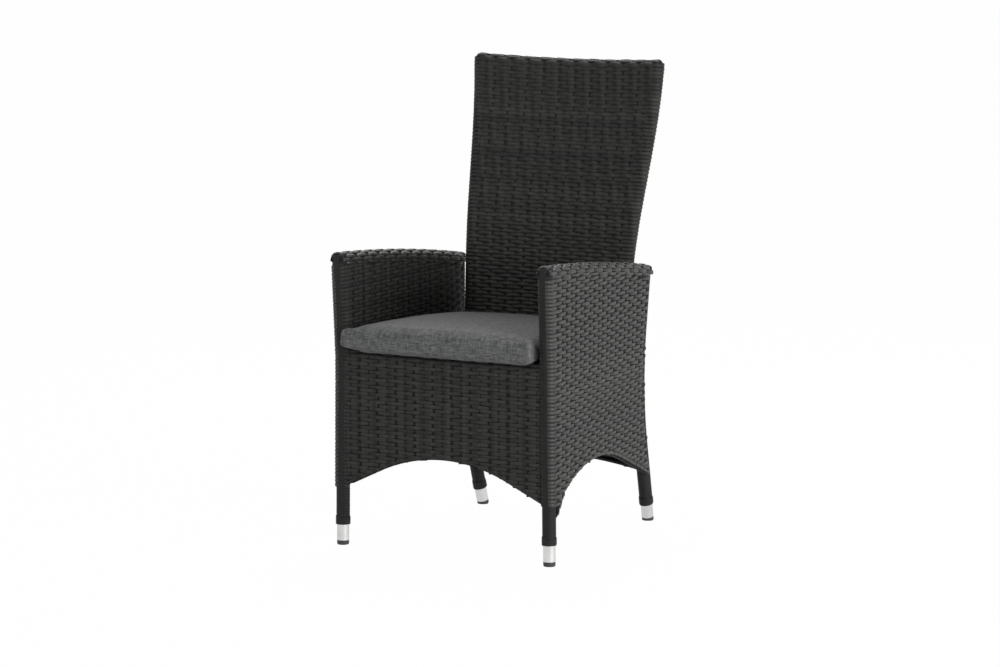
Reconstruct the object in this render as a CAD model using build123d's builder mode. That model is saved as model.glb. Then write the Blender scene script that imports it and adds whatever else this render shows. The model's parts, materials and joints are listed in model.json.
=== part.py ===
import os
from math import atan, cos, radians, sin, tan

from build123d import *

os.makedirs("parts", exist_ok=True)

# Reclining garden armchair: a bent tube frame dressed in flat woven strand, a tall back that
# swings on two shoulder bolts, and a lockable gas spring under the seat that holds its angle.
# Millimetres, +Z up, the chair faces -Y, and +X is the sitter's left. The origin is on the
# floor, in the middle of the whole chair. Depths are counted rearwards from the front legs.

# Whole chair
overall_height = 1080.0
overall_depth = 661.9
cushion_nose = 31.5
front_line = cushion_nose - overall_depth / 2

# Fits
fit_gap = 0.3
slip_gap = 0.1
running_gap = 0.05
overrun = 400.0

# Legs and arm posts
post_radius = 12.5
tube_wall = 1.5
wrap_thickness = 2.0
front_foot_half = 265.0
front_knee_half = 261.0
front_knee_height = 430.0
front_top_half = 262.0
front_top_flare = 16.5
front_bend_radius = 1500.0
rear_foot_half = 220.0
rear_foot_depth = 588.0
rear_knee_half = 233.5
rear_knee_height = 330.0
rear_knee_depth = 491.0
rear_top_half = 246.0
rear_top_height = 640.0
rear_top_depth = 513.0
rear_bend_radius = 800.0
wrap_radius = post_radius + wrap_thickness

# Feet
glide_height = 10.5
glide_radius = 13.8
glide_round = 6.0
glide_sink = 2.5
glide_stem = 15.0
ferrule_radius = 14.0
ferrule_top = 47.0

# Arms
arm_front_height = 669.0
arm_rear_height = 613.0
arm_crown = 7.5
arm_roll_radius = 16.5
arm_roll_skirt = 3.0
arm_roll_cap = 3.0
arm_end_round = 4.0
post_top_drop = 6.0
skin_outer = 15.5
skin_thickness = 2.3
skin_start = 7.5
skin_low_height = 60.0
skin_high_height = 680.0
skin_spans = 8
side_rod_inset = 1.0

# Seat frame and deck
seat_height = 450.0
seat_drop = 23.0
seat_run = 458.0
deck_thickness = 3.0
rail_radius = 10.0
cross_rail_radius = 9.0
front_rail_depth = 4.0
cross_rail_depth = 144.0
rear_rail_depth = 439.0
rear_top_rail_height = 372.0
weave_thickness = 2.8
deck_tail = 8.0
apron_bend_height = 281.0
apron_straight_height = 190.0

# Arched lower edges
arch_rod_radius = 4.0
front_arch_foot = 132.0
front_arch_peak = 258.0
front_arch_radius = 380.0
side_arch_foot = 100.0
side_arch_heel = 115.0
side_arch_knee = 160.0
side_arch_knee_depth = 51.0
side_arch_peak = 241.0
side_arch_peak_depth = 222.0
side_arch_knee_radius = 30.0
side_arch_radius = 390.0
rear_arch_foot = 119.0
rear_arch_apex = 145.0

# Back
pivot_height = 388.0
pivot_depth = 474.0
stile_radius = 11.0
back_low_half = 191.0
back_knee_half = 206.0
back_knee_share = 0.4147
back_knee_depth = 512.7
back_neck_half = 225.0
back_neck_share = 0.8049
back_neck_depth = 586.1
back_top_half = 232.0
back_top_depth = 602.3
back_bend_shares = (0.28, 0.645)
back_skin_half = 15.0
back_skin_low = 430.0
back_low_setback = 5.0
back_top_setback = 15.0
back_top_sag = 7.0
back_top_round = 13.0
back_low_round = 6.0
back_top_rail_radius = 10.0
back_low_rail_radius = 9.0
back_low_rail_height = 446.0
stile_foot = 4.0
back_spans = 9

# Recline pivots
torque_radius = 11.0
torque_wall = 2.0
pivot_plate_half = 224.0
pivot_plate_thickness = 6.0
pivot_plate_width = 30.0
pivot_plate_foot = 14.0
pivot_plate_lead = 4.0
pivot_plate_rise = 3.0
bush_flange = 3.3
bush_length = 24.0
pivot_bolt_radius = 5.0
pivot_bolt_reach = 20.0
pivot_nut_across = 17.0
pivot_nut_height = 7.0
pivot_head_across = 15.0
pivot_head_height = 5.5

# Gas spring
lever_length = 55.0
lever_hub_radius = 14.0
lever_tip_radius = 9.0
lever_plate = 4.0
eye_half = 8.0
eye_radius = 11.0
eye_slack = 1.8
fork_gap = 0.5
spring_pin_radius = 4.0
spring_pin_head = 6.5
spring_pin_head_height = 3.0
cylinder_radius = 14.0
cylinder_wall = 2.0
cylinder_length = 205.0
cylinder_tail = 30.0
eye_neck_radius = 6.5
plug_length = 10.0
guide_length = 12.0
rod_radius = 5.0
piston_length = 14.0
piston_lead = 45.0
release_pin_radius = 1.5
release_pin_reach = 7.0
release_pin_play = 5.0
release_pin_bottom = 3.0

# Release head, its bracket and lever
head_half = 15.0
head_height = 24.0
head_front = 26.0
head_rear = 16.0
head_slot_half = 7.0
head_slot_end = 2.0
bracket_plate = 4.0
bracket_foot_radius = 13.0
bracket_top_width = 40.0
bracket_bite = 1.5
trunnion_inset = 0.5
release_shaft_radius = 4.0
release_rise = 24.0
release_lead = 14.0
release_boss_radius = 9.0
release_hub_radius = 8.0
finger_half = 4.0
finger_width = 9.0
finger_tip = 5.0
finger_round = 3.0
shaft_end = 8.0
release_arm_half = 246.0
release_arm_drop = 166.0
release_bend_radius = 15.0
hanger_half = 214.0
hanger_top_width = 26.0
grip_radius = 8.0
grip_length = 78.0
grip_end_wall = 4.0
grip_round = 3.5

# Seat cushion
cushion_front_half = 244.5
cushion_rear_half = 222.5
cushion_rear_depth = 461.0
cushion_thickness = 64.5
cushion_corner = 24.0
cushion_front_bow = 6.0
cushion_side_draw = 2.5
cushion_rear_draw = 2.0
cushion_crown = 7.5
cushion_low_round = 9.0
cushion_top_round = 17.0


def keep(piece, name):
    """Label a finished piece and write it."""
    piece.label = name
    export_step(piece, "parts/" + name + ".step")


def twin(piece):
    """The other side's copy of a piece."""
    return mirror(piece, about=Plane.YZ)


def swept(route, outer, inner=0.0):
    """A round bar along a route, or a tube where an inner radius is given."""
    with BuildPart() as piece:
        with BuildSketch(Plane(origin=route @ 0, z_dir=route % 0)):
            Circle(outer)
            if inner:
                Circle(inner, mode=Mode.SUBTRACT)
        sweep(path=route)
    return piece.part


def bar(start, end, outer, inner=0.0):
    """A straight round bar, or a tube where an inner radius is given."""
    with BuildPart() as piece:
        with BuildSketch(Plane(origin=start, z_dir=end - start)):
            Circle(outer)
            if inner:
                Circle(inner, mode=Mode.SUBTRACT)
        extrude(amount=(end - start).length)
    return piece.part


def fused(*pieces):
    """Several pieces as one cutter."""
    with BuildPart() as whole:
        for piece in pieces:
            add(piece)
    return whole.part


def cut(piece, *cutters):
    """A piece with the cutters taken out of it."""
    with BuildPart() as rest:
        add(piece)
        for cutter in cutters:
            add(cutter, mode=Mode.SUBTRACT)
    return rest.part


def within(piece, *regions):
    """The part of a piece that lies inside every region."""
    with BuildPart() as rest:
        add(piece)
        for region in regions:
            add(region, mode=Mode.INTERSECT)
    return rest.part


def at_height(route, height):
    """The point of a rising route at a height."""
    low = 0.0
    high = 1.0
    for _ in range(40):
        middle = (low + high) / 2
        if (route @ middle).Z < height:
            low = middle
        else:
            high = middle
    return route @ low


def bend_radii(points, shares):
    """The radius at each corner whose arc reaches a share of the shorter run beside it."""
    radii = []
    for before, corner, after, share in zip(points, points[1:], points[2:], shares):
        arriving = Vector(*corner) - Vector(*before)
        leaving = Vector(*after) - Vector(*corner)
        half_turn = radians(arriving.get_angle(leaving)) / 2
        radii.append(share * min(arriving.length, leaving.length) / tan(half_turn))
    return radii


def from_start(route, distance):
    """The point at a distance along a route."""
    return route @ (distance / route.length)


# Reference lines of the posts: from the floor to above the arms
post_reach = arm_front_height + arm_roll_radius
rear_slope = (post_reach - rear_knee_height) / (rear_top_height - rear_knee_height)

with BuildLine() as front_axis:
    FilletPolyline(
        (front_foot_half, front_line, 0),
        (front_knee_half, front_line, front_knee_height),
        (front_top_half, front_line - front_top_flare, post_reach),
        radius=front_bend_radius,
    )

with BuildLine() as rear_axis:
    FilletPolyline(
        (rear_foot_half, front_line + rear_foot_depth, 0),
        (rear_knee_half, front_line + rear_knee_depth, rear_knee_height),
        (
            rear_knee_half + rear_slope * (rear_top_half - rear_knee_half),
            front_line + rear_knee_depth + rear_slope * (rear_top_depth - rear_knee_depth),
            post_reach,
        ),
        radius=rear_bend_radius,
    )

front_route = front_axis.wires()[0]
rear_route = rear_axis.wires()[0]

# Reference line of an arm: through the tops of its two posts, with a crown
arm_front = at_height(front_route, arm_front_height - arm_roll_radius)
arm_rear = at_height(rear_route, arm_rear_height - arm_roll_radius)
arm_way = (arm_rear - arm_front).normalized()
arm_front_end = arm_front - arm_way * wrap_radius
arm_rear_end = arm_rear + arm_way * wrap_radius
arm_middle = (arm_front + arm_rear) / 2 + Vector(0, 0, arm_crown)

with BuildLine() as arm_axis:
    ThreePointArc(arm_front_end, arm_middle, arm_rear_end)

arm_route = arm_axis.wires()[0]
arm_cap_share = arm_roll_cap / arm_route.length

with BuildLine() as arm_tube_axis:
    ThreePointArc(arm_route @ arm_cap_share, arm_middle, arm_route @ (1 - arm_cap_share))

arm_tube_route = arm_tube_axis.wires()[0]


def arm_cutter(radius):
    """A bar along the arm that runs on past both posts."""
    front = arm_route @ 0
    rear = arm_route @ 1
    return fused(
        swept(arm_route, radius),
        bar(front - (arm_route % 0) * wrap_radius, front, radius),
        bar(rear, rear + (arm_route % 1) * wrap_radius, radius),
    )


def below_arm(drop):
    """Everything lower than a line that runs a given drop under the arm's line."""
    front = (arm_front_end.Y, arm_front_end.Z - drop)
    middle = (arm_middle.Y, arm_middle.Z - drop)
    rear = (arm_rear_end.Y, arm_rear_end.Z - drop)
    with BuildPart() as region:
        with BuildSketch(Plane.YZ):
            with BuildLine():
                ThreePointArc(front, middle, rear)
                Polyline(
                    rear,
                    (rear[0] + overrun, rear[1]),
                    (rear[0] + overrun, -overrun),
                    (front[0] - overrun, -overrun),
                    (front[0] - overrun, front[1]),
                    front,
                )
            make_face()
        extrude(amount=overrun, both=True)
    return region.part


# The seat's sloping plane: its origin is the deck's top above the front legs' line
seat_tilt = atan(seat_drop / seat_run)
seat_plane = Plane(
    origin=(0, front_line, seat_height),
    x_dir=(1, 0, 0),
    z_dir=(0, sin(seat_tilt), cos(seat_tilt)),
)


def on_seat(side, depth, rise):
    """A point of the chair from its place on the seat's plane."""
    return seat_plane.from_local_coords(Vector(side, depth, rise))


# Solid cores of the tubes: what the joints are coped with
front_core = swept(front_route, post_radius)
rear_core = swept(rear_route, post_radius)
arm_core = arm_cutter(post_radius)
front_wrap_core = swept(front_route, wrap_radius + fit_gap)
rear_wrap_core = swept(rear_route, wrap_radius + fit_gap)
under_arm = below_arm(post_top_drop)

rail_rise = -(deck_thickness + rail_radius + slip_gap)
cross_rise = -(deck_thickness + cross_rail_radius + slip_gap)
side_rail_front = on_seat(0, 0, rail_rise)
side_rail_front.X = at_height(front_route, side_rail_front.Z).X
side_rail_rear = at_height(rear_route, seat_height + rail_rise - seat_drop)
rear_rail_run = (side_rail_rear.Y - front_line) * cos(seat_tilt)
side_rail_rear = on_seat(side_rail_rear.X, rear_rail_run, rail_rise)
side_rail_core = bar(side_rail_front, side_rail_rear, rail_radius)


def above(route, distance):
    """Everything of a leg above a distance along it."""
    with BuildPart() as region:
        with BuildSketch(Plane(origin=from_start(route, distance), z_dir=route % 0)):
            Circle(overrun)
        extrude(amount=overrun + overall_height)
    return region.part


def post_tube(route):
    """The tube of one leg, from its glide to the arm rail on top of it."""
    tube = swept(route, post_radius, post_radius - tube_wall)
    return cut(within(tube, above(route, glide_height), under_arm), arm_core)


# Front posts: bent gently above the seat
front_post_left = post_tube(front_route)
keep(front_post_left, "front_post_left")
keep(twin(front_post_left), "front_post_right")

# Rear posts: sabre-bent, raked backwards below the seat
rear_post_left = post_tube(rear_route)
keep(rear_post_left, "rear_post_left")
keep(twin(rear_post_left), "rear_post_right")

# Arm rail: the crowned tube across the tops of the posts
arm_rail_left = swept(arm_tube_route, post_radius, post_radius - tube_wall)
keep(arm_rail_left, "arm_rail_left")
keep(twin(arm_rail_left), "arm_rail_right")

# Seat rails: front and two sides on the posts, rear and cross rails on the side rails
both_posts = fused(front_core, rear_core, twin(front_core), twin(rear_core))
both_side_rails = fused(side_rail_core, twin(side_rail_core))
rail_bore = rail_radius - tube_wall
cross_rail_bore = cross_rail_radius - tube_wall

front_rail_left_end = on_seat(front_knee_half, front_rail_depth, rail_rise)
front_rail_right_end = on_seat(-front_knee_half, front_rail_depth, rail_rise)
front_rail_core = bar(front_rail_right_end, front_rail_left_end, rail_radius)
seat_front_rail = cut(
    bar(front_rail_right_end, front_rail_left_end, rail_radius, rail_bore),
    both_posts,
)
keep(seat_front_rail, "seat_front_rail")

seat_side_rail_left = cut(
    bar(side_rail_front, side_rail_rear, rail_radius, rail_bore),
    both_posts,
    front_rail_core,
)
keep(seat_side_rail_left, "seat_side_rail_left")
keep(twin(seat_side_rail_left), "seat_side_rail_right")


def side_rail_half(depth):
    """The side rails' distance from the middle at a depth."""
    share = depth / rear_rail_run
    return side_rail_front.X + share * (side_rail_rear.X - side_rail_front.X)


def cross_rail(depth):
    """A tube between the side rails, just under the deck."""
    half = side_rail_half(depth)
    tube = bar(
        on_seat(-half, depth, cross_rise),
        on_seat(half, depth, cross_rise),
        cross_rail_radius,
        cross_rail_bore,
    )
    return cut(tube, both_side_rails)


keep(cross_rail(cross_rail_depth), "seat_cross_rail")
keep(cross_rail(rear_rail_depth), "seat_rear_rail")

# Rear top rail: carries the rear apron, low enough to let the back swing over it
rear_top_rail_end = at_height(rear_route, rear_top_rail_height)
rear_top_rail_twin = Vector(-rear_top_rail_end.X, rear_top_rail_end.Y, rear_top_rail_end.Z)
rear_top_rail_core = bar(rear_top_rail_twin, rear_top_rail_end, rail_radius)
rear_top_rail = cut(
    bar(rear_top_rail_twin, rear_top_rail_end, rail_radius, rail_bore),
    both_posts,
)
keep(rear_top_rail, "rear_top_rail")


# Front arch: its line, the space under it and the rod that stiffens the apron's edge
front_rail_middle = on_seat(0, front_rail_depth, rail_rise)
front_arch_half = at_height(front_route, front_arch_foot).X
front_rod_depth = front_rail_middle.Y - rail_radius + arch_rod_radius


def arch_region(line, foot_start, foot_end, plane, reach):
    """The space under an arched line, down past the floor."""
    with BuildPart() as region:
        with BuildSketch(plane):
            with BuildLine():
                add(line)
                Polyline(
                    foot_end,
                    (foot_end[0] + reach, foot_end[1]),
                    (foot_end[0] + reach, -overrun),
                    (foot_start[0] - reach, -overrun),
                    (foot_start[0] - reach, foot_start[1]),
                    foot_start,
                )
            make_face()
        extrude(amount=reach, both=True)
    return region.part


def front_arch_line(lift):
    """The front arch's line, raised by a distance."""
    return FilletPolyline(
        (-front_arch_half, front_arch_foot + lift),
        (0, front_arch_peak + lift),
        (front_arch_half, front_arch_foot + lift),
        radius=front_arch_radius,
        mode=Mode.PRIVATE,
    )


under_front_arch = arch_region(
    front_arch_line(0),
    (-front_arch_half, front_arch_foot),
    (front_arch_half, front_arch_foot),
    Plane.XZ.offset(-front_line),
    wrap_radius * 2,
)
front_rod_route = (Plane.XZ.offset(-front_rod_depth) * front_arch_line(arch_rod_radius)).wire()
front_rod_core = swept(front_rod_route, arch_rod_radius)
keep(cut(front_rod_core, both_posts), "front_arch_rod")

# Side arch: steep at the front leg, with its peak before the middle and a long fall rearwards
side_arch_start = at_height(front_route, side_arch_foot)
side_arch_end = at_height(rear_route, side_arch_heel)
side_arch_way = Vector(
    side_arch_end.X - side_arch_start.X, side_arch_end.Y - side_arch_start.Y, 0
).normalized()
side_arch_out = Vector(side_arch_way.Y, -side_arch_way.X, 0)
side_arch_run = side_arch_way.dot(side_arch_end - side_arch_start)
side_rod_offset = post_radius - arch_rod_radius - side_rod_inset
side_rod_plane = Plane(
    origin=(side_arch_start.X, side_arch_start.Y, 0) + side_arch_out * side_rod_offset,
    x_dir=side_arch_way,
    z_dir=side_arch_out,
)


def side_arch_line(lift):
    """The side arch's line in its own plane, raised by a distance."""
    return FilletPolyline(
        (0, side_arch_foot + lift),
        (side_arch_knee_depth, side_arch_knee + lift),
        (side_arch_peak_depth, side_arch_peak + lift),
        (side_arch_run, side_arch_heel + lift),
        radius=(side_arch_knee_radius, side_arch_radius),
        mode=Mode.PRIVATE,
    )


under_side_arch = arch_region(
    side_arch_line(0),
    (0, side_arch_foot),
    (side_arch_run, side_arch_heel),
    side_rod_plane,
    skin_outer * 2,
)
side_rod_route = (side_rod_plane * side_arch_line(arch_rod_radius)).wire()
side_rod_core = swept(side_rod_route, arch_rod_radius)
side_arch_rod_left = cut(side_rod_core, both_posts)
keep(side_arch_rod_left, "side_arch_rod_left")
keep(twin(side_arch_rod_left), "side_arch_rod_right")

# Rear arch: shallow, in the slope of the rear legs
rear_arch_end = at_height(rear_route, rear_arch_foot)
rear_rod_offset = rail_radius - arch_rod_radius


def rear_way(height):
    """The rear legs' direction at a height, seen from the side."""
    step = at_height(rear_route, height + post_radius) - at_height(rear_route, height - post_radius)
    return Vector(0, step.Y, step.Z).normalized()


def rear_face(height, offset):
    """A point behind the rear legs' line, seen from the side, as depth and height."""
    way = rear_way(height)
    point = at_height(rear_route, height)
    return (point.Y + way.Z * offset, point.Z - way.Y * offset)


with BuildLine() as rear_rod_line:
    rear_rod_foot = rear_face(rear_arch_foot + arch_rod_radius, rear_rod_offset)
    rear_rod_apex = rear_face(rear_arch_apex + arch_rod_radius, rear_rod_offset)
    ThreePointArc(
        (-rear_arch_end.X, *rear_rod_foot),
        (0, *rear_rod_apex),
        (rear_arch_end.X, *rear_rod_foot),
    )

rear_rod_core = swept(rear_rod_line.wires()[0], arch_rod_radius)
keep(cut(rear_rod_core, both_posts), "rear_arch_rod")

# Wrapped strand on the legs and posts, from the ferrules to the arm rolls
arm_hole = arm_cutter(post_radius + fit_gap)
front_rail_hole = bar(front_rail_right_end, front_rail_left_end, rail_radius + slip_gap)
side_rail_hole = bar(side_rail_front, side_rail_rear, rail_radius + slip_gap)
rear_top_rail_hole = bar(rear_top_rail_twin, rear_top_rail_end, rail_radius + slip_gap)
front_rod_hole = swept(front_rod_route, arch_rod_radius + slip_gap)
side_rod_hole = swept(side_rod_route, arch_rod_radius + slip_gap)
rear_rod_hole = swept(rear_rod_line.wires()[0], arch_rod_radius + slip_gap)


def leg_wrap(route, *holes):
    """The strand wound on one post, notched where rails and rods are welded to it."""
    strand = swept(route, wrap_radius, post_radius + slip_gap)
    return cut(within(strand, above(route, ferrule_top), under_arm), arm_hole, *holes)


front_wrap_left = leg_wrap(front_route, front_rail_hole, side_rail_hole, front_rod_hole, side_rod_hole)
keep(front_wrap_left, "front_wrap_left")
keep(twin(front_wrap_left), "front_wrap_right")
rear_wrap_left = leg_wrap(rear_route, rear_top_rail_hole, side_rail_hole, rear_rod_hole, side_rod_hole)
keep(rear_wrap_left, "rear_wrap_left")
keep(twin(rear_wrap_left), "rear_wrap_right")


# Feet: a bright ferrule over the end of each leg and a glide plugged into it
def ferrule(route):
    """The sleeve over the end of one leg."""
    low = from_start(route, glide_height)
    high = from_start(route, ferrule_top - slip_gap)
    return bar(low, high, ferrule_radius, post_radius + slip_gap)


def glide(route):
    """The plug in the end of one leg, rounded below and worn flat on the floor."""
    with BuildPart() as plug:
        with BuildSketch(Plane(origin=route @ 0 - (route % 0) * glide_sink, z_dir=route % 0)):
            Circle(glide_radius)
        extrude(amount=glide_sink + glide_height)
        low_edge = plug.edges().filter_by(GeomType.CIRCLE).sort_by(Axis.Z)[0]
        fillet(low_edge, radius=glide_round)
        with BuildSketch(Plane(origin=from_start(route, glide_height), z_dir=route % 0)):
            Circle(post_radius - tube_wall - slip_gap)
        extrude(amount=glide_stem)
        with BuildSketch(Plane.XY):
            Rectangle(2 * overrun, 2 * overrun)
        extrude(amount=overrun, mode=Mode.INTERSECT)
    return plug.part


left_ferrules = fused(ferrule(front_route), ferrule(rear_route))
keep(fused(left_ferrules, twin(left_ferrules)), "ferrules")
left_glides = fused(glide(front_route), glide(rear_route))
keep(fused(left_glides, twin(left_glides)), "glides")


# Woven sides: an outer skin down to the arch, an inner skin down to the deck, joined by the
# roll over the arm rail
def side_skin(near, far):
    """A sheet between the posts, from one distance outside their line to another."""
    with BuildPart() as sheet:
        for level in range(skin_spans + 1):
            height = skin_low_height + level / skin_spans * (skin_high_height - skin_low_height)
            front = at_height(front_route, height)
            rear = at_height(rear_route, height)
            way = (rear - front).normalized()
            out = Vector(way.Y, -way.X, 0)
            front += way * skin_start
            rear -= way * skin_start
            corners = (front + out * near, rear + out * near, rear + out * far, front + out * far)
            with BuildSketch(Plane.XY.offset(height)):
                with BuildLine():
                    Polyline([(corner.X, corner.Y) for corner in corners], close=True)
                make_face()
        loft()
    return sheet.part


with BuildPart() as below_deck:
    with BuildSketch(seat_plane.offset(fit_gap)):
        Rectangle(4 * overrun, 4 * overrun)
    extrude(amount=-2 * overrun)

roll_out = Vector(arm_way.Y, -arm_way.X, 0).normalized()

with BuildPart() as arm_roll:
    with BuildSketch(Plane(origin=arm_route @ 0, x_dir=roll_out, z_dir=arm_route % 0)):
        Circle(arm_roll_radius)
        with Locations((0, arm_roll_skirt + arm_roll_radius)):
            Rectangle(4 * arm_roll_radius, 2 * arm_roll_radius, mode=Mode.SUBTRACT)
    sweep(path=arm_route)
    end_faces = arm_roll.faces().sort_by(Axis.Y)
    end_arcs = end_faces[0].edges().sort_by(SortBy.LENGTH)[-1:]
    end_arcs += end_faces[-1].edges().sort_by(SortBy.LENGTH)[-1:]
    fillet(end_arcs, radius=arm_end_round)

outer_skin = cut(side_skin(skin_outer - skin_thickness, skin_outer), under_side_arch)
inner_skin = cut(side_skin(-skin_outer, skin_thickness - skin_outer), below_deck.part)
both_skins = within(fused(outer_skin, inner_skin), below_arm(0))
side_weave_left = cut(
    fused(both_skins, arm_roll.part),
    swept(arm_tube_route, post_radius + fit_gap),
)
keep(side_weave_left, "side_weave_left")
keep(twin(side_weave_left), "side_weave_right")


# Woven aprons: a sheet that rolls over its rail, between the legs, cut by its arch
def between_posts(route, heights):
    """The space between the middles of two posts, seen from the front."""
    left = [(at_height(route, height).X, height) for height in heights]
    right = [(-half, height) for half, height in reversed(left)]
    with BuildPart() as region:
        with BuildSketch(Plane.XZ):
            with BuildLine():
                Polyline(left + right, close=True)
            make_face()
        extrude(amount=overrun, both=True)
    return region.part


roll_inner = rail_radius + slip_gap
roll_outer = roll_inner + weave_thickness
front_wraps_core = fused(front_wrap_core, twin(front_wrap_core))
rear_wraps_core = fused(rear_wrap_core, twin(rear_wrap_core))

front_space = between_posts(front_route, (0, post_reach))
rear_space = between_posts(rear_route, (0, apron_straight_height, seat_height))

with BuildPart() as front_apron_weave:
    with BuildSketch(Plane.YZ):
        with BuildLine():
            rail = (front_rail_middle.Y, front_rail_middle.Z)
            CenterArc(rail, roll_outer, 90, 90)
            Line((rail[0] - roll_outer, rail[1]), (rail[0] - roll_outer, skin_low_height))
            Line((rail[0] - roll_outer, skin_low_height), (rail[0] - roll_inner, skin_low_height))
            Line((rail[0] - roll_inner, skin_low_height), (rail[0] - roll_inner, rail[1]))
            CenterArc(rail, roll_inner, 90, 90)
            Line((rail[0], rail[1] + roll_inner), (rail[0], rail[1] + roll_outer))
        make_face()
    extrude(amount=overrun, both=True)
    add(front_space, mode=Mode.INTERSECT)
    add(under_front_arch, mode=Mode.SUBTRACT)
    add(front_wraps_core, mode=Mode.SUBTRACT)

keep(front_apron_weave.part, "front_apron_weave")

with BuildPart() as under_rear_arch:
    with BuildSketch(Plane.XZ.offset(-rear_arch_end.Y)):
        with BuildLine():
            ThreePointArc(
                (-rear_arch_end.X, rear_arch_foot), (0, rear_arch_apex), (rear_arch_end.X, rear_arch_foot)
            )
            Polyline(
                (rear_arch_end.X, rear_arch_foot),
                (rear_arch_end.X, -overrun),
                (-rear_arch_end.X, -overrun),
                (-rear_arch_end.X, rear_arch_foot),
            )
        make_face()
    extrude(amount=overrun / 2, both=True)

with BuildPart() as rear_apron_weave:
    with BuildSketch(Plane.YZ):
        with BuildLine():
            way = rear_way(rear_top_rail_height)
            rail_point = Vector(rear_top_rail_end.Y, rear_top_rail_end.Z)
            rise = Vector(way.Y, way.Z)
            back = Vector(way.Z, -way.Y)
            ThreePointArc(
                rail_point + back * roll_outer, rail_point + rise * roll_outer, rail_point - back * roll_outer
            )
            Line(rail_point - back * roll_outer, rail_point - back * roll_inner)
            ThreePointArc(
                rail_point - back * roll_inner, rail_point + rise * roll_inner, rail_point + back * roll_inner
            )
            ThreePointArc(
                rail_point + back * roll_inner,
                rear_face(apron_bend_height, roll_inner),
                rear_face(apron_straight_height, roll_inner),
            )
            Polyline(
                rear_face(apron_straight_height, roll_inner),
                rear_face(skin_low_height, roll_inner),
                rear_face(skin_low_height, roll_outer),
                rear_face(apron_straight_height, roll_outer),
            )
            ThreePointArc(
                rear_face(apron_straight_height, roll_outer),
                rear_face(apron_bend_height, roll_outer),
                rail_point + back * roll_outer,
            )
        make_face()
    extrude(amount=overrun, both=True)
    add(rear_space, mode=Mode.INTERSECT)
    add(under_rear_arch.part, mode=Mode.SUBTRACT)
    add(rear_wraps_core, mode=Mode.SUBTRACT)

keep(rear_apron_weave.part, "rear_apron_weave")

# Woven deck: flat on the rails, rolled down behind the rear one
deck_side_plane = Plane(origin=seat_plane.origin, x_dir=seat_plane.y_dir, z_dir=(1, 0, 0))
deck_front = front_rail_depth + fit_gap
deck_roll = deck_thickness + slip_gap + cross_rail_radius
deck_rear = rear_rail_depth + deck_roll

with BuildPart() as seat_weave:
    with BuildSketch(deck_side_plane):
        with BuildLine():
            rail = (rear_rail_depth, cross_rise)
            low = cross_rise - deck_tail
            inner = cross_rail_radius + slip_gap
            Line((deck_front, 0), (rear_rail_depth, 0))
            CenterArc(rail, deck_roll, 0, 90)
            Polyline(
                (deck_rear, cross_rise), (deck_rear, low), (rail[0] + inner, low), (rail[0] + inner, cross_rise)
            )
            CenterArc(rail, inner, 0, 90)
            Polyline(
                (rear_rail_depth, -deck_thickness), (deck_front, -deck_thickness), (deck_front, 0)
            )
        make_face()
    extrude(amount=overrun, both=True)
    with BuildSketch(seat_plane.offset(overrun / 4)):
        with BuildLine():
            Polyline(
                (side_rail_half(deck_front), deck_front),
                (side_rail_half(rear_rail_depth), rear_rail_depth),
                (side_rail_half(rear_rail_depth) - 2 * rail_radius, rear_rail_depth),
                (side_rail_half(deck_rear) - 2 * rail_radius, deck_rear + overrun),
                (2 * rail_radius - side_rail_half(deck_rear), deck_rear + overrun),
                (2 * rail_radius - side_rail_half(rear_rail_depth), rear_rail_depth),
                (-side_rail_half(rear_rail_depth), rear_rail_depth),
                (-side_rail_half(deck_front), deck_front),
                close=True,
            )
        make_face()
    extrude(amount=-overrun, mode=Mode.INTERSECT)
    add(front_wraps_core, mode=Mode.SUBTRACT)

keep(seat_weave.part, "seat_weave")


# Back frame: two stiles on a torque tube, bent in an S, with a top and a lower rail
pivot_line = front_line + pivot_depth
top_rail_height = overall_height - back_skin_half

back_rise = overall_height - pivot_height
stile_points = (
    (back_low_half, pivot_line, pivot_height),
    (back_knee_half, front_line + back_knee_depth, pivot_height + back_knee_share * back_rise),
    (back_neck_half, front_line + back_neck_depth, pivot_height + back_neck_share * back_rise),
    (back_top_half, front_line + back_top_depth, top_rail_height),
)

with BuildLine() as stile_axis:
    FilletPolyline(*stile_points, radius=bend_radii(stile_points, back_bend_shares))
    Line(stile_axis.line @ 1, stile_axis.line @ 1 + (stile_axis.line % 1) * 2 * back_skin_half)

stile_route = stile_axis.wires()[0]
torque_half = pivot_plate_half - bush_flange - fit_gap
torque_core = bar(
    Vector(-torque_half, pivot_line, pivot_height),
    Vector(torque_half, pivot_line, pivot_height),
    torque_radius,
)


def setback(height):
    """How far the back's middle lies behind its edges at a height."""
    share = (height - back_skin_low) / (overall_height - back_skin_low)
    return back_low_setback + share * (back_top_setback - back_low_setback)


def across(height, drop):
    """An arc across the back between the stiles' lines, its middle lowered by a distance."""
    end = at_height(stile_route, height)
    return ThreePointArc(
        (-end.X, end.Y, height),
        (0, end.Y + setback(height), height - drop),
        (end.X, end.Y, height),
        mode=Mode.PRIVATE,
    )


def between_heights(low, high):
    """The space between two heights."""
    with BuildPart() as region:
        with BuildSketch(Plane.XY.offset(low)):
            Rectangle(4 * overrun, 4 * overrun)
        extrude(amount=high - low)
    return region.part


stile_core = cut(
    swept(stile_route, stile_radius),
    between_heights(top_rail_height, overall_height * 2),
)
both_stiles = fused(stile_core, twin(stile_core))
back_stile_left = cut(
    swept(stile_route, stile_radius, stile_radius - tube_wall),
    between_heights(top_rail_height, overall_height * 2),
    between_heights(0, pivot_height + stile_foot),
    torque_core,
)
keep(back_stile_left, "back_stile_left")
keep(twin(back_stile_left), "back_stile_right")

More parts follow.
